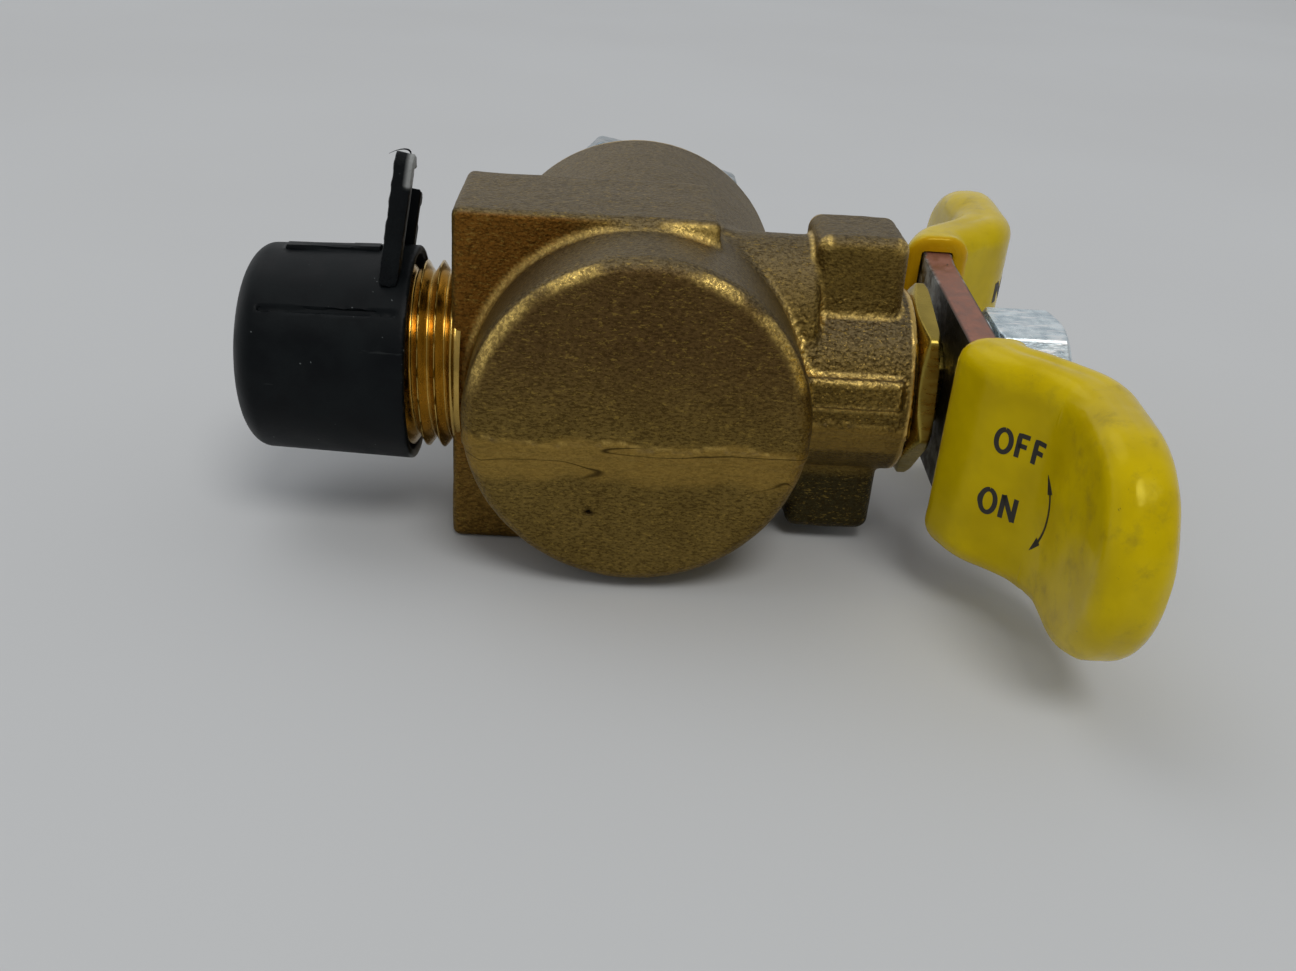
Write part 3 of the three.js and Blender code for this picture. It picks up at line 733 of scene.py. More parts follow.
def lug_distance(x, y, z):
    return slab(
        x, y, np.abs(z),
        (LUG_LEFT, -LUG_HALF_DEPTH, 4), (LUG_RIGHT, LUG_HALF_DEPTH, LUG_TOP), 1.5,
    )


def side_rib_distance(x, y, z):
    return slab(x, np.abs(y), z, (8, 5, RIB_LOW), (NECK_END - 1.4, RIB_FACE, RIB_HIGH), 0.6)


def seam_distance(x, z):
    """The low ridge that the mould's parting line leaves round the casting."""
    height = z + 2.4 + 0.25 * np.sin(0.5 * x) + 0.15 * np.sin(1.3 * x + 1)
    return np.abs(height) - 0.45


def passage_distance(x, y, z):
    from_x = np.hypot(y, z)
    bores = drum(x, z, y, CHAMBER_RADIUS, CHAMBER_FLOOR, CHAMBER_END, 0.2)
    for radius, low, high in (
        (CONNECTOR_THREAD + CLEARANCE, CHAMBER_END - 0.5, REAR_FACE + 2),
        (SEAL_SEAT_RADIUS, REAR_FACE - SEAL_SEAT_DEPTH, REAR_FACE + 2),
    ):
        bores = np.minimum(bores, drum(x, z, y, radius, low, high, 0.1))
    for radius, low, high in (
        (OUTLET_BORE, BLOCK_LEFT - 2, 0),
        (COLLAR_RADIUS + CLEARANCE, 0, POCKET_END),
        (STEM_RADIUS + CLEARANCE, 0, NECK_END + 2),
        (PACKING_RADIUS, PACKING_START, NECK_END + 2),
        (GLAND_THREAD_RADIUS, GLAND_THREAD_START, NECK_END + 2),
    ):
        middle, half = (low + high) / 2, (high - low) / 2
        bores = np.minimum(bores, np.maximum(from_x - radius, np.abs(x - middle) - half))
    return bores


def casting_skin(x, y, z):
    """The outside of the casting."""
    boss = drum(x, z, y, BOSS_RADIUS, BOSS_FACE, 2, 1.9)
    block = slab(
        x, y, z,
        (BLOCK_LEFT, -BLOCK_HALF_DEPTH, BASE), (BLOCK_RIGHT, BLOCK_HALF_DEPTH, -BASE), 0.9,
    )
    barrel = drum(x, z, y, REAR_RADIUS, -1, REAR_FACE, 0.7)
    skin = join(block, boss, 1.0)
    skin = join(skin, barrel, 0.5)
    shoulder = join(shoulder_distance(x, y, z), drum(y, z, x, NECK_RADIUS, 0, NECK_END, 0.35), 0.7)
    arm = join(shoulder, lug_distance(x, y, z), 0.55)
    arm = join(arm, side_rib_distance(x, y, z), 0.5)
    skin = join(skin, arm, 0.8)
    ridge = np.maximum(seam_distance(x, z), skin - 0.05 - 0.05 * ease(y, -16, -14))
    skin = join(skin, ridge, 0.3)
    pit = np.sqrt((x - PIT_X) ** 2 + (y - BOSS_FACE) ** 2 + (z - PIT_Z) ** 2 * 2.5) - 0.42
    skin = cut(skin, pit, 0.15)
    return np.maximum(skin, np.maximum(BASE - z, z + BASE))


def casting_distance(x, y, z):
    return cut(casting_skin(x, y, z), passage_distance(x, y, z), 0.15)


def casting_marks(points, normal, turn, machined):
    """Where the casting is grainy, stained or cracked, and where highlights, a sky sheen and shade are
    painted on it.
    """
    x, y, z = points.T
    from_stem = np.hypot(y, z)
    from_boss = np.hypot(x, z)
    coarse = ease(x, 12.5, 15) * ease(z, -3.5, -1) * ease(-from_stem, -13.5, -12)
    disc = ease(-y, 16.5, 18)
    wavy = z + 0.35 * np.sin(0.42 * x + 0.5) + 0.2 * np.sin(1.1 * x)
    band = disc * ease(wavy, -6.6, -5.0) * ease(-wavy, 1.0, 1.8)
    neck_band = ease(x, 14, 16) * ease(z, -5.8, -5.2) * ease(-z, 1.6, 2.4)
    pit = ease(-np.hypot(x - PIT_X, 1.5 * (z - PIT_Z)), -0.7, -0.35) * disc
    # Painted highlight on the upper arcs of the boss rim, where the edge faces the light.
    rim = ease(-y, 15, 16) * ease(z, 2, 6.5) * ease(np.abs(x + 0.5), 2.5, 6.5)
    rim *= ease(-np.abs(normal[:, 1] + 0.74), -0.27, -0.12) * ease(undulation(points, 3.5, 8), -0.7, 0.0)
    # Painted highlight on the convex edges of the lug.
    proud = ease(x, LUG_LEFT - 0.5, LUG_LEFT) * ease(z, -2, 0) * 0.75
    front_face = ease(-y, BLOCK_HALF_DEPTH - 0.4, BLOCK_HALF_DEPTH - 0.1)
    front_face *= ease(from_boss, BOSS_RADIUS, 18.6)
    front_face *= ease(-x, -BLOCK_RIGHT - 0.1, -BLOCK_RIGHT + 0.1)
    # Painted highlight at the top corner of the block's front face.
    corner_highlight = front_face * ease(x, 0.5, 3.5) * ease(z, 15.6, 16.4) * 0.75
    # Painted highlight in the fillets, fading towards the bottom.
    fillet = ease(-y, 7, 8) * ease(-from_boss, -20.5, -19.5) + 0.7 * ease(x, 8, 10)
    fillet_highlight = ease(-turn, 0.28, 0.62) * (1 - 0.85 * ease(-z, 0, 3)) * np.clip(fillet, 0.15, 1)
    return {
        # edge and hollow carry the painted gold highlights.
        "edge": np.maximum(rim, ease(turn, 0.3, 0.7) * proud),
        "hollow": np.maximum(fillet_highlight, corner_highlight),
        "machined": machined,
        "coarse": coarse,
        "band": np.maximum(band, neck_band),
        "cracked": band,
        "pit": pit,
        # The boss face darker towards its top.
        "darker_top": disc * ease(z, -3, 10),
        # Painted shade on the lower lug under the neck.
        "lug_shade": ease(-z, 9, 11) * ease(x, 16, 18),
        "ruddy": front_face * ease(-x, 2, 10) * (1 - 0.6 * ease(-z, 4, 12)),
        # Painted sky sheen with dust on up-facing faces.
        "sheen_and_dust": ease(normal[:, 2], 0.25, 0.85),
    }


def build_casting(finish):
    low = (BLOCK_LEFT - 0.6, BOSS_FACE - 0.6, BASE - 0.6)
    high = (NECK_END + 0.6, REAR_FACE + 0.6, 0.6 - BASE)
    points, quads = surface_net(casting_distance, low, high, 0.36)
    turn = bend_of(casting_distance, points, 0.45)
    _, normal = slope_of(casting_distance, points)
    bores = passage_distance(*points.T)
    x, y, z = points.T
    machined = np.maximum(ease(-bores, -0.12, -0.05), ease(x, NECK_END - 0.75, NECK_END - 0.6))
    machined = np.maximum(machined, ease(y, REAR_FACE - 0.9, REAR_FACE - 0.7))
    marks = casting_marks(points, normal, turn, machined)
    lift = 0.07 * undulation(points, 4.0, 1) + 0.035 * undulation(points, 1.3, 2)
    lift *= (1 - machined) * ease(z - BASE, 0.2, 1.5)
    points = points + normal * lift[:, None]
    points[:, 2] = np.maximum(points[:, 2], BASE)
    add_piece(
        "casting", (points, quads), finish, "body", ("valve_body",), marks, 50,
    )


# ------------------------------------------------------------------ threads


def thread_profile(phase):
    """A pipe thread's height from root to crest, with narrow flats on both."""
    wave = 2 * np.abs(phase % 1 - 0.5)
    return np.clip((wave - 0.06) / 0.86, 0, 1)


def outlet_thread_limit(radius, angle, along):
    crest = OUTLET_CREST - (BLOCK_LEFT - along) * THREAD_TAPER
    depth = THREAD_DEPTH * thread_profile(along / THREAD_PITCH - angle / (2 * math.pi))
    runout = ease(along, BLOCK_LEFT - 0.5, BLOCK_LEFT + 0.6)
    threaded = crest - depth * (1 - runout) - 0.5 * runout
    return np.where(radius > OUTLET_BORE + 0.5, np.minimum(radius, threaded), radius)


def build_outlet_thread(finish):
    free_end = [
        (OUTLET_BORE, OUTLET_END + 0.5), (OUTLET_BORE + 0.5, OUTLET_END), (8.9, OUTLET_END),
        (OUTLET_CREST + 0.1, OUTLET_END + 1.3),
    ]
    thread = refined([free_end[-1], (OUTLET_CREST + 0.1, BLOCK_LEFT + 1)], THREAD_PITCH / 20)
    profile = free_end[:-1] + thread + [(OUTLET_BORE, BLOCK_LEFT + 1)]
    mesh = turned(profile, "x", even_angles(128), outlet_thread_limit)
    add_piece("outlet_thread", mesh, finish, "body", crease=60)


def inlet_thread_limit(radius, angle, along):
    root = INLET_BORE + 1.1 - (CONNECTOR_FACE - along) * THREAD_TAPER
    depth = THREAD_DEPTH * thread_profile(along / THREAD_PITCH - angle / (2 * math.pi))
    in_thread = (radius < INLET_BORE + 0.2) & (radius > OUTLET_BORE + 1)
    inner_end = CONNECTOR_FACE - INLET_DEPTH
    fade = ease(along, inner_end, inner_end + 1.5)
    return np.where(in_thread, np.maximum(radius - 0.4, (root - depth) * fade), radius)


def hexagon_and_inlet(radius, angle, along):
    reach = hexagon_limit(CONNECTOR_HEX, CONNECTOR_TURN)(radius, angle, along)
    reach = np.where(radius > CONNECTOR_THREAD + 1, reach, radius)
    return inlet_thread_limit(reach, angle, along)


def build_inlet_connector(finish):
    flange = REAR_FACE + CLEARANCE
    start = CHAMBER_END + CLEARANCE
    inner_end = CONNECTOR_FACE - INLET_DEPTH
    outside = softened([
        (OUTLET_BORE, start), (CONNECTOR_THREAD - 0.5, start), (CONNECTOR_THREAD, start + 0.5),
        (CONNECTOR_THREAD, flange), (CONNECTOR_HEX - 0.4, flange), (CONNECTOR_HEX, flange + 0.3),
        (CONNECTOR_HEX, CONNECTOR_FACE - 1.0), (CONNECTOR_HEX - 1.7, CONNECTOR_FACE),
        (INLET_BORE + 1.3, CONNECTOR_FACE),
    ], 0.15, steps=2)
    face = refined(outside, 0.5)
    bore = refined([(INLET_BORE, CONNECTOR_FACE - 1.3), (INLET_BORE, inner_end)], THREAD_PITCH / 16)
    profile = face + bore + [(OUTLET_BORE, inner_end - 2)]
    angles = np.sort(hexagon_angles(CONNECTOR_TURN) % (2 * math.pi))
    mesh = turned(profile, "y", angles, hexagon_and_inlet)
    add_piece("end_connector", mesh, finish, "body", ("inlet_connector",))


# ------------------------------------------------------------------ ball, seats and seals


def ball_distance(x, y, z):
    sphere = np.sqrt(x * x + y * y + z * z) - BALL_RADIUS
    inlet = np.maximum(np.hypot(x, z) - BALL_PORT, -y)
    outlet = np.maximum(np.hypot(y, z) - BALL_PORT, x)
    elbow = np.sqrt(x * x + y * y + z * z) - BALL_PORT
    waterway = np.minimum(np.minimum(inlet, outlet), elbow)
    slot = np.maximum(np.abs(y) - 2 - CLEARANCE, 8.2 - x)
    return cut(cut(sphere, waterway, 0.4), slot, 0.2)


def build_ball(finish):
    reach = BALL_RADIUS + 0.5
    mesh = surface_net(ball_distance, (-reach,) * 3, (reach,) * 3, 0.4)
    add_piece("port_ball", mesh, finish, "handle", ("ball",))


def build_seat(name, node, side, finish):
    contact = BALL_RADIUS + 0.05
    outer, inner = CHAMBER_RADIUS - CLEARANCE, 6.1
    back = CHAMBER_END - 2 * CLEARANCE if side > 0 else -CHAMBER_FLOOR - CLEARANCE
    hollow = []
    for angle in np.linspace(math.acos(9.9 / contact), math.acos(inner / contact), 10):
        hollow.append((contact * math.cos(angle), side * contact * math.sin(angle)))
    lip = hollow[0][1]
    rim = softened(
        [hollow[-1], (inner, side * back), (outer, side * back), (outer, lip), hollow[0]], 0.35,
    )
    mesh = turned(hollow + rim[1:-1], "y")
    add_piece(name, mesh, finish, "body", (node,))


def build_ring(name, node, axis, section, finish, body, fillet=0.2):
    """A turned ring whose section is a list of (radius, along) pairs."""
    profile = softened(section, fillet, closed=True)
    return add_piece(name, turned(profile, axis), finish, body, (node,))


def rectangle(inner, outer, low, high):
    return [(inner, low), (outer, low), (outer, high), (inner, high)]


def circle(middle, along, radius, count=16):
    angles = even_angles(count)
    return [(middle + radius * math.cos(a), along + radius * math.sin(a)) for a in angles]


def build_seals(rubber, fluoropolymer, brass):
    seal_middle = (CONNECTOR_THREAD + SEAL_SEAT_RADIUS) / 2
    build_ring(
        "flange_o_ring", "connector_seal", "y",
        circle(seal_middle, REAR_FACE - SEAL_SEAT_DEPTH / 2, 0.95), rubber, "body",
    )
    build_ring(
        "stem_seal", "stem_o_ring", "x",
        circle(4.25, POCKET_END + 1.6, 0.5), rubber, "handle",
    )
    shaft = STEM_RADIUS + 0.1
    for name, node, outer in (
        ("collar_washer", "thrust_washer", COLLAR_RADIUS),
        ("packing_inner", "packing_ring_inner", PACKING_RADIUS - 0.1),
        ("packing_outer", "packing_ring_outer", PACKING_RADIUS - 0.1),
    ):
        low, high = span(node, 0)
        section = rectangle(shaft, outer, low, high)
        build_ring(name, node, "x", section, fluoropolymer, "body")
    low, high = span("gland_follower", 0)
    section = rectangle(shaft, PACKING_RADIUS - 0.2, low, high)
    build_ring("gland_sleeve", "gland_follower", "x", section, brass, "body")


# ------------------------------------------------------------------ stem and its nuts


def tilted(y, z):
    """Y and Z in the tilted handle's own axes."""
    cosine, sine = math.cos(HANDLE_TILT), math.sin(HANDLE_TILT)
    return y * cosine + z * sine, z * cosine - y * sine


def stem_distance(x, y, z):
    radial = np.hypot(y, z)
    shaft = meet(radial - STEM_RADIUS, np.maximum(CHAMBER_RADIUS - x, x - STEM_END), 0.7)
    angle = np.arctan2(z, y)
    thread = radial - STEM_RADIUS + 0.45 * thread_profile(x / 1.25 - angle / (2 * math.pi))
    shaft = np.where(x > 40.5, np.maximum(shaft, thread), shaft)
    collar = drum(y, z, x, COLLAR_RADIUS, CHAMBER_RADIUS, POCKET_END - 1.4, 0.2)
    tang = slab(x, y, z, (8.5, -2, -STEM_RADIUS), (CHAMBER_RADIUS + 1, 2, STEM_RADIUS), 0.2)
    groove = np.maximum(np.abs(x - POCKET_END - 1.6) - 0.9, 3.5 - radial)
    across, _ = tilted(y, z)
    low, high = PLATE_LEFT - CLEARANCE, PLATE_LEFT + PLATE_THICKNESS + CLEARANCE
    flats = np.maximum(STEM_FLAT - np.abs(across), np.abs(x - (low + high) / 2) - (high - low) / 2)
    whole = np.minimum(np.minimum(shaft, collar), tang)
    return cut(cut(whole, groove, 0.1), flats, 0.1)


def build_stem(finish):
    reach = COLLAR_RADIUS + 0.4
    mesh = surface_net(stem_distance, (8, -reach, -reach), (STEM_END + 0.4, reach, reach), 0.24)
    add_piece("valve_stem", mesh, finish, "handle", ("stem",))


def nut_mesh(outside, spacing, corner_radius, first_corner, round_below):
    """A nut's closed section swept round X: a hexagon outside, and round wherever it is narrower."""
    hexagon = hexagon_limit(corner_radius, first_corner)

    def limit(radius, angle, along):
        return np.where(radius > round_below, hexagon(radius, angle, along), radius)

    profile = refined(outside, spacing, closed=True)
    return turned(profile, "x", hexagon_angles(first_corner), limit)


def build_packing_nut(finish):
    left, right = NECK_END + CLEARANCE, span("packing_nut", 0)[1]
    hole = STEM_RADIUS + CLEARANCE
    thread_start = GLAND_THREAD_START + CLEARANCE
    outside = softened([
        (hole, thread_start), (GLAND_THREAD_RADIUS - 0.7, thread_start),
        (GLAND_THREAD_RADIUS - CLEARANCE, thread_start + 0.6), (GLAND_THREAD_RADIUS - CLEARANCE, left),
        (NUT_CORNER - 1.7, left), (NUT_CORNER, left + 0.95), (NUT_CORNER, right - 0.35),
        (NUT_CORNER - 0.6, right), (hole + 0.5, right), (hole, right - 0.5),
    ], 0.12, closed=True, steps=2)
    mesh = nut_mesh(outside, 0.25, NUT_CORNER, NUT_TURN, GLAND_THREAD_RADIUS)
    add_piece("gland_nut", mesh, finish, "body", ("packing_nut",))


def build_handle_nut(finish):
    left, right = span("handle_nut", 0)
    hole = STEM_RADIUS + 0.15
    outside = softened([
        (hole, left + 0.5), (hole + 0.5, left), (HANDLE_NUT_CORNER - 0.7, left),
        (HANDLE_NUT_CORNER, left + 0.4), (HANDLE_NUT_CORNER, right - 0.8),
        (HANDLE_NUT_CORNER - 1.4, right), (hole + 0.6, right), (hole, right - 0.6),
    ], 0.15, closed=True, steps=2)
    mesh = nut_mesh(outside, 0.3, HANDLE_NUT_CORNER, HANDLE_NUT_TURN, hole + 1)
    add_piece("stem_nut", mesh, finish, "handle", ("handle_nut",))


def build_lock_washer(finish):
    """A split spring washer: a square section swept nearly once round."""
    low, high = span("lock_washer", 0)
    inner, outer = STEM_RADIUS + CLEARANCE, 7.6
    section = softened(rectangle(inner, outer, low, high), 0.25, closed=True)
    rings = []
    for step in range(WASHER_STEPS + 1):
        turn = (2 * math.pi - 2 * WASHER_HALF_GAP) * step / WASHER_STEPS
        angle = WASHER_GAP_PLACE + WASHER_HALF_GAP + turn
        cosine, sine = math.cos(angle), math.sin(angle)
        rings.append([(along, radius * cosine, radius * sine) for radius, along in section])
    add_piece("spring_washer", swept(rings), finish, "handle", ("lock_washer",))


# ------------------------------------------------------------------ handle


def wing_path(along):
    """The bent strip's centre line: X, the distance from the stem, and the lean at each length."""
    marks = np.cumsum([0, BEND_START, BEND_LENGTH, SLOPE_LENGTH, BEND_LENGTH, 2 * FLAT_LENGTH])
    lean_at_marks = [0, 0, BEND_ANGLE, BEND_ANGLE, 0, 0]
    fine = np.linspace(0, marks[-1], 4000)
    lean = np.interp(fine, marks, lean_at_marks)
    step = fine[1] - fine[0]
    out = np.cumsum(np.sin(lean)) * step
    away = np.cumsum(np.cos(lean)) * step
    middle = PLATE_LEFT + PLATE_THICKNESS / 2
    return (
        middle + np.interp(along, fine, out),
        np.interp(along, fine, away),
        np.interp(along, marks, lean_at_marks),
    )


def on_handle(points, side=1):
    """Takes points of the flat strip (length from the stem, width, height) to the bent handle."""
    along, width, height = np.asarray(points, float).T
    x, away, lean = wing_path(np.abs(along))
    x = x + height * np.cos(lean)
    y = -(away - height * np.sin(lean)) * np.where(along < 0, -1, 1)
    z = width
    if side < 0:
        y, z = -y, -z
    cosine, sine = math.cos(HANDLE_TILT), math.sin(HANDLE_TILT)
    return np.stack([x, y * cosine - z * sine, y * sine + z * cosine], 1)


def plan_distance(along, width, end, half_width, corner):
    """A strip's outline in plan, with round ends."""
    a = np.abs(along) - end + corner
    b = np.abs(width) - half_width + corner
    return np.hypot(np.maximum(a, 0), np.maximum(b, 0)) + np.minimum(np.maximum(a, b), 0) - corner


def strip_distance(along, width, height, grow=0.0):
    end = WING_LENGTH - SLEEVE_WALL + grow
    half = PLATE_HALF_WIDTH + (WING_HALF_WIDTH - PLATE_HALF_WIDTH) * ease(np.abs(along), 12, 16)
    plan = plan_distance(along, width, end, WING_HALF_WIDTH + grow, 0.9 * WING_HALF_WIDTH)
    plan = np.maximum(plan, np.abs(width) - half - grow)
    return meet(plan, np.abs(height) - PLATE_THICKNESS / 2 - grow, 0.3)


def handle_strip_distance(along, width, height):
    radial = np.hypot(along, width) - STEM_RADIUS - CLEARANCE
    hole = np.maximum(radial, np.abs(along) - STEM_FLAT - CLEARANCE)
    return cut(strip_distance(along, width, height), hole, 0.15)


def build_handle_strip(finish):
    reach = WING_LENGTH + 0.5
    half = WING_HALF_WIDTH + 0.5
    thick = PLATE_THICKNESS / 2 + 0.5
    points, quads = surface_net(
        handle_strip_distance, (-reach, -half, -thick), (reach, half, thick), 0.38,
    )
    edge = np.abs(points[:, 2]) < PLATE_THICKNESS / 2 - 0.12
    near_hole = np.hypot(points[:, 0], points[:, 1]) < STEM_RADIUS + 1
    along, width, _ = points.T
    marks = {
        "sheared": (edge & ~near_hole).astype(float),
        # Where the painted lit patch goes on the strip's face.
        "lit_patch": ease(-along, 4, 7) * ease(width, 1, 5),
    }
    bent = on_handle(points)
    add_piece(
        "handle_strip", (bent, turn_out(bent, quads)), finish, "handle",
        ("handle_plate",), marks, 45,
    )


def turn_out(points, quads):
    """Quads turned, all together, so that they face out."""
    a, b, c, d = (points[quads[:, i]] for i in range(4))
    volume = (a * np.cross(b, c)).sum() + (a * np.cross(c, d)).sum()
    return quads if volume > 0 else quads[:, ::-1]


def pooled(along):
    """Extra vinyl that rounds off the inside of the second bend to POOL_RADIUS."""
    tight = BEND_RADIUS - PLATE_THICKNESS / 2 - SLEEVE_WALL
    start = BEND_START + BEND_LENGTH + SLOPE_LENGTH
    reach = (POOL_RADIUS - tight) * math.tan(BEND_ANGLE / 2)
    outside = np.maximum(np.maximum(start - along, along - start - BEND_LENGTH), 0)
    beside = POOL_RADIUS - np.sqrt(POOL_RADIUS**2 - np.maximum(reach - outside, 0) ** 2)
    angle = np.clip((along - start) / BEND_RADIUS, 0, BEND_ANGLE) - BEND_ANGLE / 2
    centre = (POOL_RADIUS - tight) / math.cos(BEND_ANGLE / 2)
    left = np.sqrt(POOL_RADIUS**2 - (centre * np.sin(angle)) ** 2) - centre * np.cos(angle)
    return np.where(outside > 0, beside, tight - left)


def sleeve_distance(along, width, height):
    half = WING_HALF_WIDTH + SLEEVE_WALL
    plan = plan_distance(along, width, WING_LENGTH - 0.12, half, 0.92 * half)
    thick = PLATE_THICKNESS / 2 + SLEEVE_WALL
    mouth = SLEEVE_START - along
    lip = 0.35 * np.exp(-((along - SLEEVE_START - 0.9) ** 2) / 0.6)
    thick = thick + pooled(along) * ease(-height, 0, 1.5)
    outer = meet(plan, np.abs(height) - thick - lip, 2.7)
    outer = meet(outer, mouth, 0.7)
    return cut(outer, strip_distance(along, width, height, 0.12), 0.2)


def build_sleeve(name, node, side, finish):
    half = WING_HALF_WIDTH + SLEEVE_WALL + 0.6
    thick = PLATE_THICKNESS / 2 + SLEEVE_WALL + 1.4
    points, quads = surface_net(
        sleeve_distance, (SLEEVE_START - 0.6, -half, -thick), (WING_LENGTH + 0.6, half, thick), 0.38,
    )
    along, width, height = points.T
    _, normal = slope_of(sleeve_distance, points)
    outer = ease(np.abs(height) + 0.6 * ease(np.abs(width), 9, 11) * 4, 2.4, 2.9)
    clear_of_print = np.maximum(ease(np.abs(width), 7.5, 9.5), ease(along, 29, 32))
    lift = 0.16 * undulation(points, 6.5, 11 + side) * outer * clear_of_print
    lift += 0.05 * undulation(points, 2.1, 13 + side) * outer * clear_of_print
    rubbed = ease(along, 26, 34) * 0.8 + 0.5 * ease(np.abs(width), 7, 11)
    marks = {
        "rubbed": np.clip(rubbed, 0, 1),
        # Painted shade at the sleeve's mouth.
        "lip": ease(-along, -SLEEVE_START - 0.9, -SLEEVE_START - 0.2) * 0.8,
    }
    bent = on_handle(points + normal * lift[:, None], side)
    add_piece(name, (bent, turn_out(bent, quads)), finish, "handle", (node,), marks, 60)


# ------------------------------------------------------------------ printed words on the sleeves

STROKE = 0.52
INK_DEPTH = 0.05
OUTER_LABEL_MIDDLE = 24.3


def ribbon(path, width, side, face):
    """A thin printed stroke along a path of (length, width) places on a sleeve's face."""
    path = np.array(refined(path, 0.3))
    ahead = np.gradient(path, axis=0)
    ahead /= np.maximum(np.linalg.norm(ahead, axis=1, keepdims=True), 1e-9)
    across = np.stack([-ahead[:, 1], ahead[:, 0]], 1)
    ends = np.atleast_1d(width)
    widths = np.interp(np.linspace(0, 1, len(path)), np.linspace(0, 1, len(ends)), ends)
    left = path + across * widths[:, None] / 2
    right = path - across * widths[:, None] / 2
    level = PLATE_THICKNESS / 2 + SLEEVE_WALL
    corners = []
    for plan, rise in ((left, 0.5), (right, 0.5), (right, -1), (left, -1)):
        height = level + rise * INK_DEPTH + (pooled(plan[:, 0]) if face < 0 else 0)
        corners.append(np.column_stack([plan, np.broadcast_to(face * height, len(plan))]))
    points, faces = swept(np.stack(corners, 1))
    points = on_handle(points, side)
    return points, outward(points, faces)


def letter_strokes(letter, left, bottom, width, height):
    """A plain letter as a list of paths."""
    right, top = left + width, bottom + height
    if letter == "O":
        angles = np.linspace(0, 2 * math.pi, 25)
        middle, centre = (left + right) / 2, (bottom + top) / 2
        a, b = width / 2, height / 2
        return [[(middle + a * math.sin(t), centre + b * math.cos(t)) for t in angles]]
    if letter == "F":
        mid = bottom + 0.55 * height
        end = right - 0.15 * width
        return [[(left, bottom), (left, top), (right, top)], [(left, mid), (end, mid)]]
    return [[(left, bottom), (left, top)], [(left, top), (right, bottom)], [(right, bottom), (right, top)]]


def word_strokes(word, left, bottom, height, widths, gap):
    strokes = []
    for letter, width in zip(word, widths):
        strokes += letter_strokes(letter, left, bottom, width, height)
        left += width + gap
    return strokes


def word_pair():
    """OFF above ON, as (path, stroke width) pairs on a sleeve's inner face."""
    words = word_strokes("OFF", 19.15, 2.85, 2.5, (1.55, 1.05, 1.05), 0.78)
    words += word_strokes("ON", 18.9, -4.4, 2.7, (1.6, 1.35), 0.8)
    return [(path, STROKE) for path in words]


def arrow_strokes():
    """A double-headed arrow that bows towards the tip, just past the second bend."""
    arrow = []
    for t in np.linspace(0, 1, 13):
        arrow.append((29.3 + 5.6 * t * (1 - t), 2.4 - 8.2 * t))
    strokes = [(arrow, 0.26)]
    for tip, back in ((arrow[0], arrow[2]), (arrow[-1], arrow[-3])):
        tip, back = np.array(tip), np.array(back)
        strokes.append(([tip + (tip - back) * 0.25, back], (0.04, 0.85)))
    return strokes


def build_label(name, side, face, finish):
    strokes = word_pair()
    if face > 0:
        strokes = [([(2 * OUTER_LABEL_MIDDLE - a, b) for a, b in path], width) for path, width in strokes]
    else:
        strokes += arrow_strokes()
    meshes = [ribbon(path, width, side, face) for path, width in strokes]
    add_piece(name, joined(*meshes), finish, "handle")


# ------------------------------------------------------------------ outlet cap


def cap_shape(radial, x, radius, end, depth, corner):
    """A tapered cup blank with an elliptical shoulder at its closed end."""
    wall = radial - radius - CAP_TAPER * (x - end - depth)
    blank = np.maximum(wall, end - x)
    a = np.maximum(radial - (radius - corner), 0)
    b = np.maximum(end + depth - x, 0)
    shoulder = ellipse(a, b, corner, depth)
    in_corner = (radial > radius - corner) & (x < end + depth)
    return np.where(in_corner, np.maximum(shoulder, blank), blank)


def cap_distance(x, y, z):
    radial = np.hypot(y, z)
    end_radius = CAP_MOUTH_RADIUS - CAP_TAPER * (CAP_MOUTH - CAP_END - CAP_DOME_DEPTH)
    outer = cap_shape(radial, x, end_radius, CAP_END, CAP_DOME_DEPTH, CAP_DOME_RADIUS)
    outer = meet(outer, x - CAP_MOUTH, 0.35)
    wall = CAP_MOUTH_RADIUS - CAP_TAPER * (CAP_MOUTH - x)
    rib = slab(x, y, z, (CAP_END + 4.6, -CAP_RIB_HALF_WIDTH, 10), (CAP_MOUTH - 3.9, 0.7, wall + 0.45), 0.12)
    outer = np.minimum(outer, rib)
    angle = np.arctan2(z, -y)
    off_groove = np.abs(angle - CAP_GROOVE_ANGLE) * radial - 0.32
    groove = np.maximum(np.maximum(off_groove, wall - 0.3 - radial), x - CAP_MOUTH + 1.2)
    outer = cut(outer, np.maximum(groove, CAP_END + 3.2 - x), 0.06)
    inner = cap_shape(radial, x, CAP_BORE - 0.35, CAP_END + CAP_END_WALL, 2.6, 4.4)
    return cut(outer, inner, 0.3)


def build_cap(finish):
    reach = CAP_MOUTH_RADIUS + 0.8
    points, quads = surface_net(
        cap_distance, (CAP_END - 0.5, -reach, -reach), (CAP_MOUTH + 0.5, reach, reach), 0.3,
    )
    x, y, z = points.T
    radial = np.hypot(y, z)
    lip = ease(x, CAP_MOUTH - 0.5, CAP_MOUTH - 0.15) * ease(-z, 8.5, 11) * ease(radial, 10.8, 11.6)
    marks = {"stressed": lip * 0.8, "torn": np.zeros(len(points))}
    add_piece("dust_cap", (points, quads), finish, "cap", ("outlet_cap",), marks, 45)


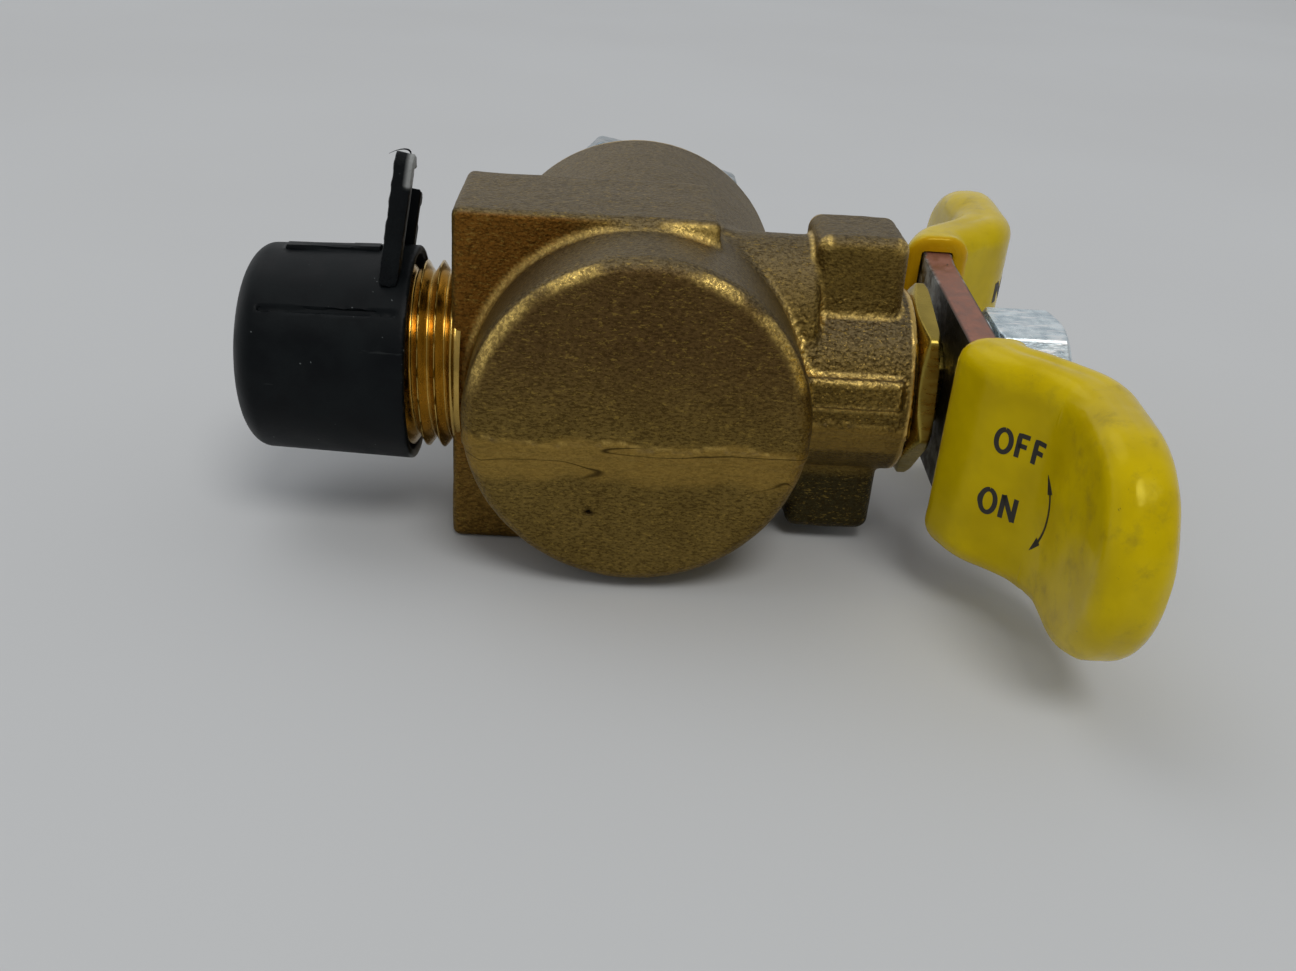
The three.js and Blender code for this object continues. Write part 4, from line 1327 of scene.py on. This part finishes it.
def tab_distance(u, y, h):
    """The stub of the strap: u through its thickness, h up from the cap's rim."""
    top = TAB_LENGTH - 0.62 * np.maximum(y + 6, 0) + 0.15 * np.sin(2.3 * y)
    plan = plan_distance(h, y, TAB_LENGTH, TAB_HALF_WIDTH, 1.6)
    plate = meet(plan, np.abs(u - TAB_THICKNESS / 2) - TAB_THICKNESS / 2, 0.3)
    channel = np.maximum(np.maximum(y - 4.4, -5.2 - y), 0.8 - u)
    middle_ridge = np.maximum(np.abs(y + 1) - 0.55, u - 1.5)
    channel = np.maximum(np.maximum(channel, -middle_ridge), h - top + 1.2 * ease(-y, 2, 5))
    notch = np.maximum(np.maximum(5.8 - y, 1.1 - u), np.maximum(1.2 - h, h - 3.4))
    plate = cut(plate, channel, 0.2)
    plate = cut(plate, notch, 0.2)
    plate = np.maximum(plate, h - top)
    _, z = tab_to_valve(u, h)
    return np.maximum(plate, CAP_MOUTH_RADIUS + 0.02 - np.hypot(y, z))


def tab_to_valve(u, h):
    left = CAP_MOUTH - 1 - TAB_THICKNESS
    cosine, sine = math.cos(TAB_LEAN), math.sin(TAB_LEAN)
    return left + u * cosine + h * sine, CAP_MOUTH_RADIUS - u * sine + h * cosine


def build_strap_stub(finish):
    points, quads = surface_net(
        tab_distance, (-0.5, -TAB_HALF_WIDTH - 0.5, -5),
        (TAB_THICKNESS + 0.5, TAB_HALF_WIDTH + 0.5, 12.9), 0.25,
    )
    u, y, h = points.T
    rough = 0.06 * undulation(points, 0.9, 21) + 0.05 * undulation(points, 0.45, 22)
    _, normal = slope_of(tab_distance, points)
    points = points + normal * (rough * ease(-y, 4.5, 6.8))[:, None]
    pale = ease(h, 8.8, 9.2) * ease(u, 1.2, 1.6) * ease(-y, 2.0, 4.5)
    u, y, h = points.T
    x, z = tab_to_valve(u, h)
    world = np.stack([x, y, z], 1)
    marks = {"stressed": 0.85 * pale, "torn": ease(-y, 5, 6.5)}
    add_piece(
        "strap_stub", (world, turn_out(world, quads)), finish, "cap",
        ("cap_strap_stub",), marks, 45,
    )


def build_burr(finish):
    """A hair of plastic left where the strap tore off."""
    base = np.array(tab_to_valve(1.0, 11.7))
    rings = []
    for step in range(BURR_STEPS + 1):
        t = step / BURR_STEPS
        x = base[0] + 0.5 - 1.9 * t + 0.5 * math.sin(4 * t)
        z = base[1] - 0.2 + 1.2 * math.sin(2.6 * t) * (1 - 0.35 * t)
        radius = BURR_RADIUS * (1 - 0.8 * t)
        ring = []
        for side in range(BURR_SIDES):
            angle = 2 * math.pi * side / BURR_SIDES
            across, up = radius * math.sin(angle), radius * math.cos(angle)
            ring.append((x + up * 0.5, BURR_Y + across, z + up))
        rings.append(ring)
    add_piece("strap_burr", swept(rings), finish, "cap")


# ------------------------------------------------------------------ stage, in the frame's metres

SENSOR_WIDTH = 36
LENS = 36.11
CAMERA_PLACE = (-0.0042, -0.1396, 0.0752)
LIGHTS_TARGET = (0, 0, 0.02)
FLOOR_HALF_WIDTH = 4.0
FLOOR_DROP = 0.00002


def build_floor():
    half = FLOOR_HALF_WIDTH
    data = bpy.data.meshes.new("floor")
    corners = [(-half, -half, 0), (half, -half, 0), (half, half, 0), (-half, half, 0)]
    data.from_pydata(corners, [], [(0, 1, 2, 3)])
    paint = Paint("pale_floor", (0.62, 0.63, 0.64), 0.75)
    cloud = paint.window(paint.noise(180.0, 3.0), 0.3, 0.7)
    paint.set("Base Color", paint.blend(cloud, (0.615, 0.622, 0.630), (0.635, 0.645, 0.655)))
    paint.shader.inputs["Specular IOR Level"].default_value = 0.0
    data.materials.append(paint.material)
    floor = bpy.data.objects.new("floor", data)
    bpy.context.scene.collection.objects.link(floor)
    floor.location.z = -FLOOR_DROP


def add_ramp(tree, socket, reach, to_low, to_high):
    """A smooth change of strength along one axis, from -reach to reach."""
    ramp = tree.nodes.new("ShaderNodeMapRange")
    ramp.interpolation_type = "SMOOTHSTEP"
    for name, value in (("From Min", -reach), ("From Max", reach), ("To Min", to_low), ("To Max", to_high)):
        ramp.inputs[name].default_value = value
    tree.links.new(socket, ramp.inputs["Value"])
    return ramp.outputs["Result"]


def build_world():
    """A bright room behind and above, and a dimmer one in front."""
    world = bpy.data.worlds.new("room")
    bpy.context.scene.world = world
    world.use_nodes = True
    tree = world.node_tree
    background = tree.nodes["Background"]
    coordinate = tree.nodes.new("ShaderNodeTexCoord")
    split = tree.nodes.new("ShaderNodeSeparateXYZ")
    tree.links.new(coordinate.outputs["Generated"], split.inputs[0])
    depth = add_ramp(tree, split.outputs["Y"], 0.9, 0.31, 0.62)
    side = add_ramp(tree, split.outputs["X"], 1.0, 1.15, 0.75)
    product = tree.nodes.new("ShaderNodeMath")
    product.operation = "MULTIPLY"
    tree.links.new(depth, product.inputs[0])
    tree.links.new(side, product.inputs[1])
    tree.links.new(product.outputs[0], background.inputs["Strength"])
    background.inputs["Color"].default_value = (0.96, 0.98, 1.0, 1)


def add_area(name, place, size, energy, colour):
    light = bpy.data.lights.new(name, "AREA")
    light.shape = "DISK"
    light.size = size
    light.energy = energy
    light.color = colour
    lamp = bpy.data.objects.new(name, light)
    bpy.context.scene.collection.objects.link(lamp)
    lamp.location = place
    lamp.rotation_mode = "QUATERNION"
    target = Vector(LIGHTS_TARGET)
    lamp.rotation_quaternion = (target - Vector(place)).to_track_quat("-Z", "Y")


def build_lights():
    add_area("window_light", (-0.9, 0.9, 2.3), 1.8, 7.0, (0.98, 0.99, 1.0))
    add_area("room_light", (0.45, -1.25, 2.2), 1.1, 19.0, (1.0, 0.99, 0.96))


def build_camera():
    data = bpy.data.cameras.new("camera")
    data.sensor_width = SENSOR_WIDTH
    data.lens = LENS
    camera = bpy.data.objects.new("camera", data)
    bpy.context.scene.collection.objects.link(camera)
    right = Vector((0.99785, -0.01413, 0.06404))
    up = Vector((-0.05051, 0.45726, 0.88790))
    back = Vector((-0.04183, -0.88922, 0.45556))
    turn = Matrix((right, up, back)).transposed()
    camera.matrix_world = Matrix.Translation(CAMERA_PLACE) @ turn.to_4x4()
    data.clip_start, data.clip_end = 0.005, 20
    bpy.context.scene.camera = camera
    bpy.context.scene.view_settings.view_transform = "Standard"


# ------------------------------------------------------------------ assembly


def build_valve():
    brass = machined_brass("machined_brass", (0.42, 0.31, 0.060), 0.30, (0.25, 1.0, 1.0))
    thread_brass = machined_brass("thread_brass", (0.58, 0.38, 0.095), 0.20, (1.0, 0.3, 0.3))
    zinc = zinc_plate("zinc_plate", 1.0)
    dull_zinc = zinc_plate("dull_zinc_plate", 0.5)
    vinyl = yellow_vinyl()
    plastic = black_plastic()
    chrome = plain_finish("chromed_brass", (0.78, 0.79, 0.80), 0.12, 1.0, 5.0, 0.01)
    fluoropolymer = plain_finish("white_fluoropolymer", (0.82, 0.82, 0.79), 0.45, 0.0, 2.0, 0.02)
    rubber = plain_finish("black_rubber", (0.02, 0.02, 0.02), 0.65, 0.0, 1.0, 0.04)
    ink = plain_finish("black_ink", (0.022, 0.018, 0.010), 0.50, 0.0, 0.8, 0.01)
    build_casting(cast_brass())
    build_outlet_thread(thread_brass)
    build_inlet_connector(dull_zinc)
    build_ball(chrome)
    build_seat("seat_front", "seat_blind_side", -1, fluoropolymer)
    build_seat("seat_rear", "seat_inlet_side", 1, fluoropolymer)
    build_seals(rubber, fluoropolymer, brass)
    build_stem(brass)
    build_packing_nut(brass)
    build_handle_nut(zinc)
    build_lock_washer(zinc)
    build_handle_strip(handle_steel())
    build_sleeve("sleeve_near", "grip_near", 1, vinyl)
    build_sleeve("sleeve_far", "grip_far", -1, vinyl)
    for name, side, face in (
        ("label_near_inner", 1, -1), ("label_near_outer", 1, 1),
        ("label_far_inner", -1, -1), ("label_far_outer", -1, 1),
    ):
        build_label(name, side, face, ink)
    build_cap(plastic)
    build_strap_stub(plastic)
    build_burr(plastic)


build_camera()
build_valve()
build_floor()
build_world()
build_lights()
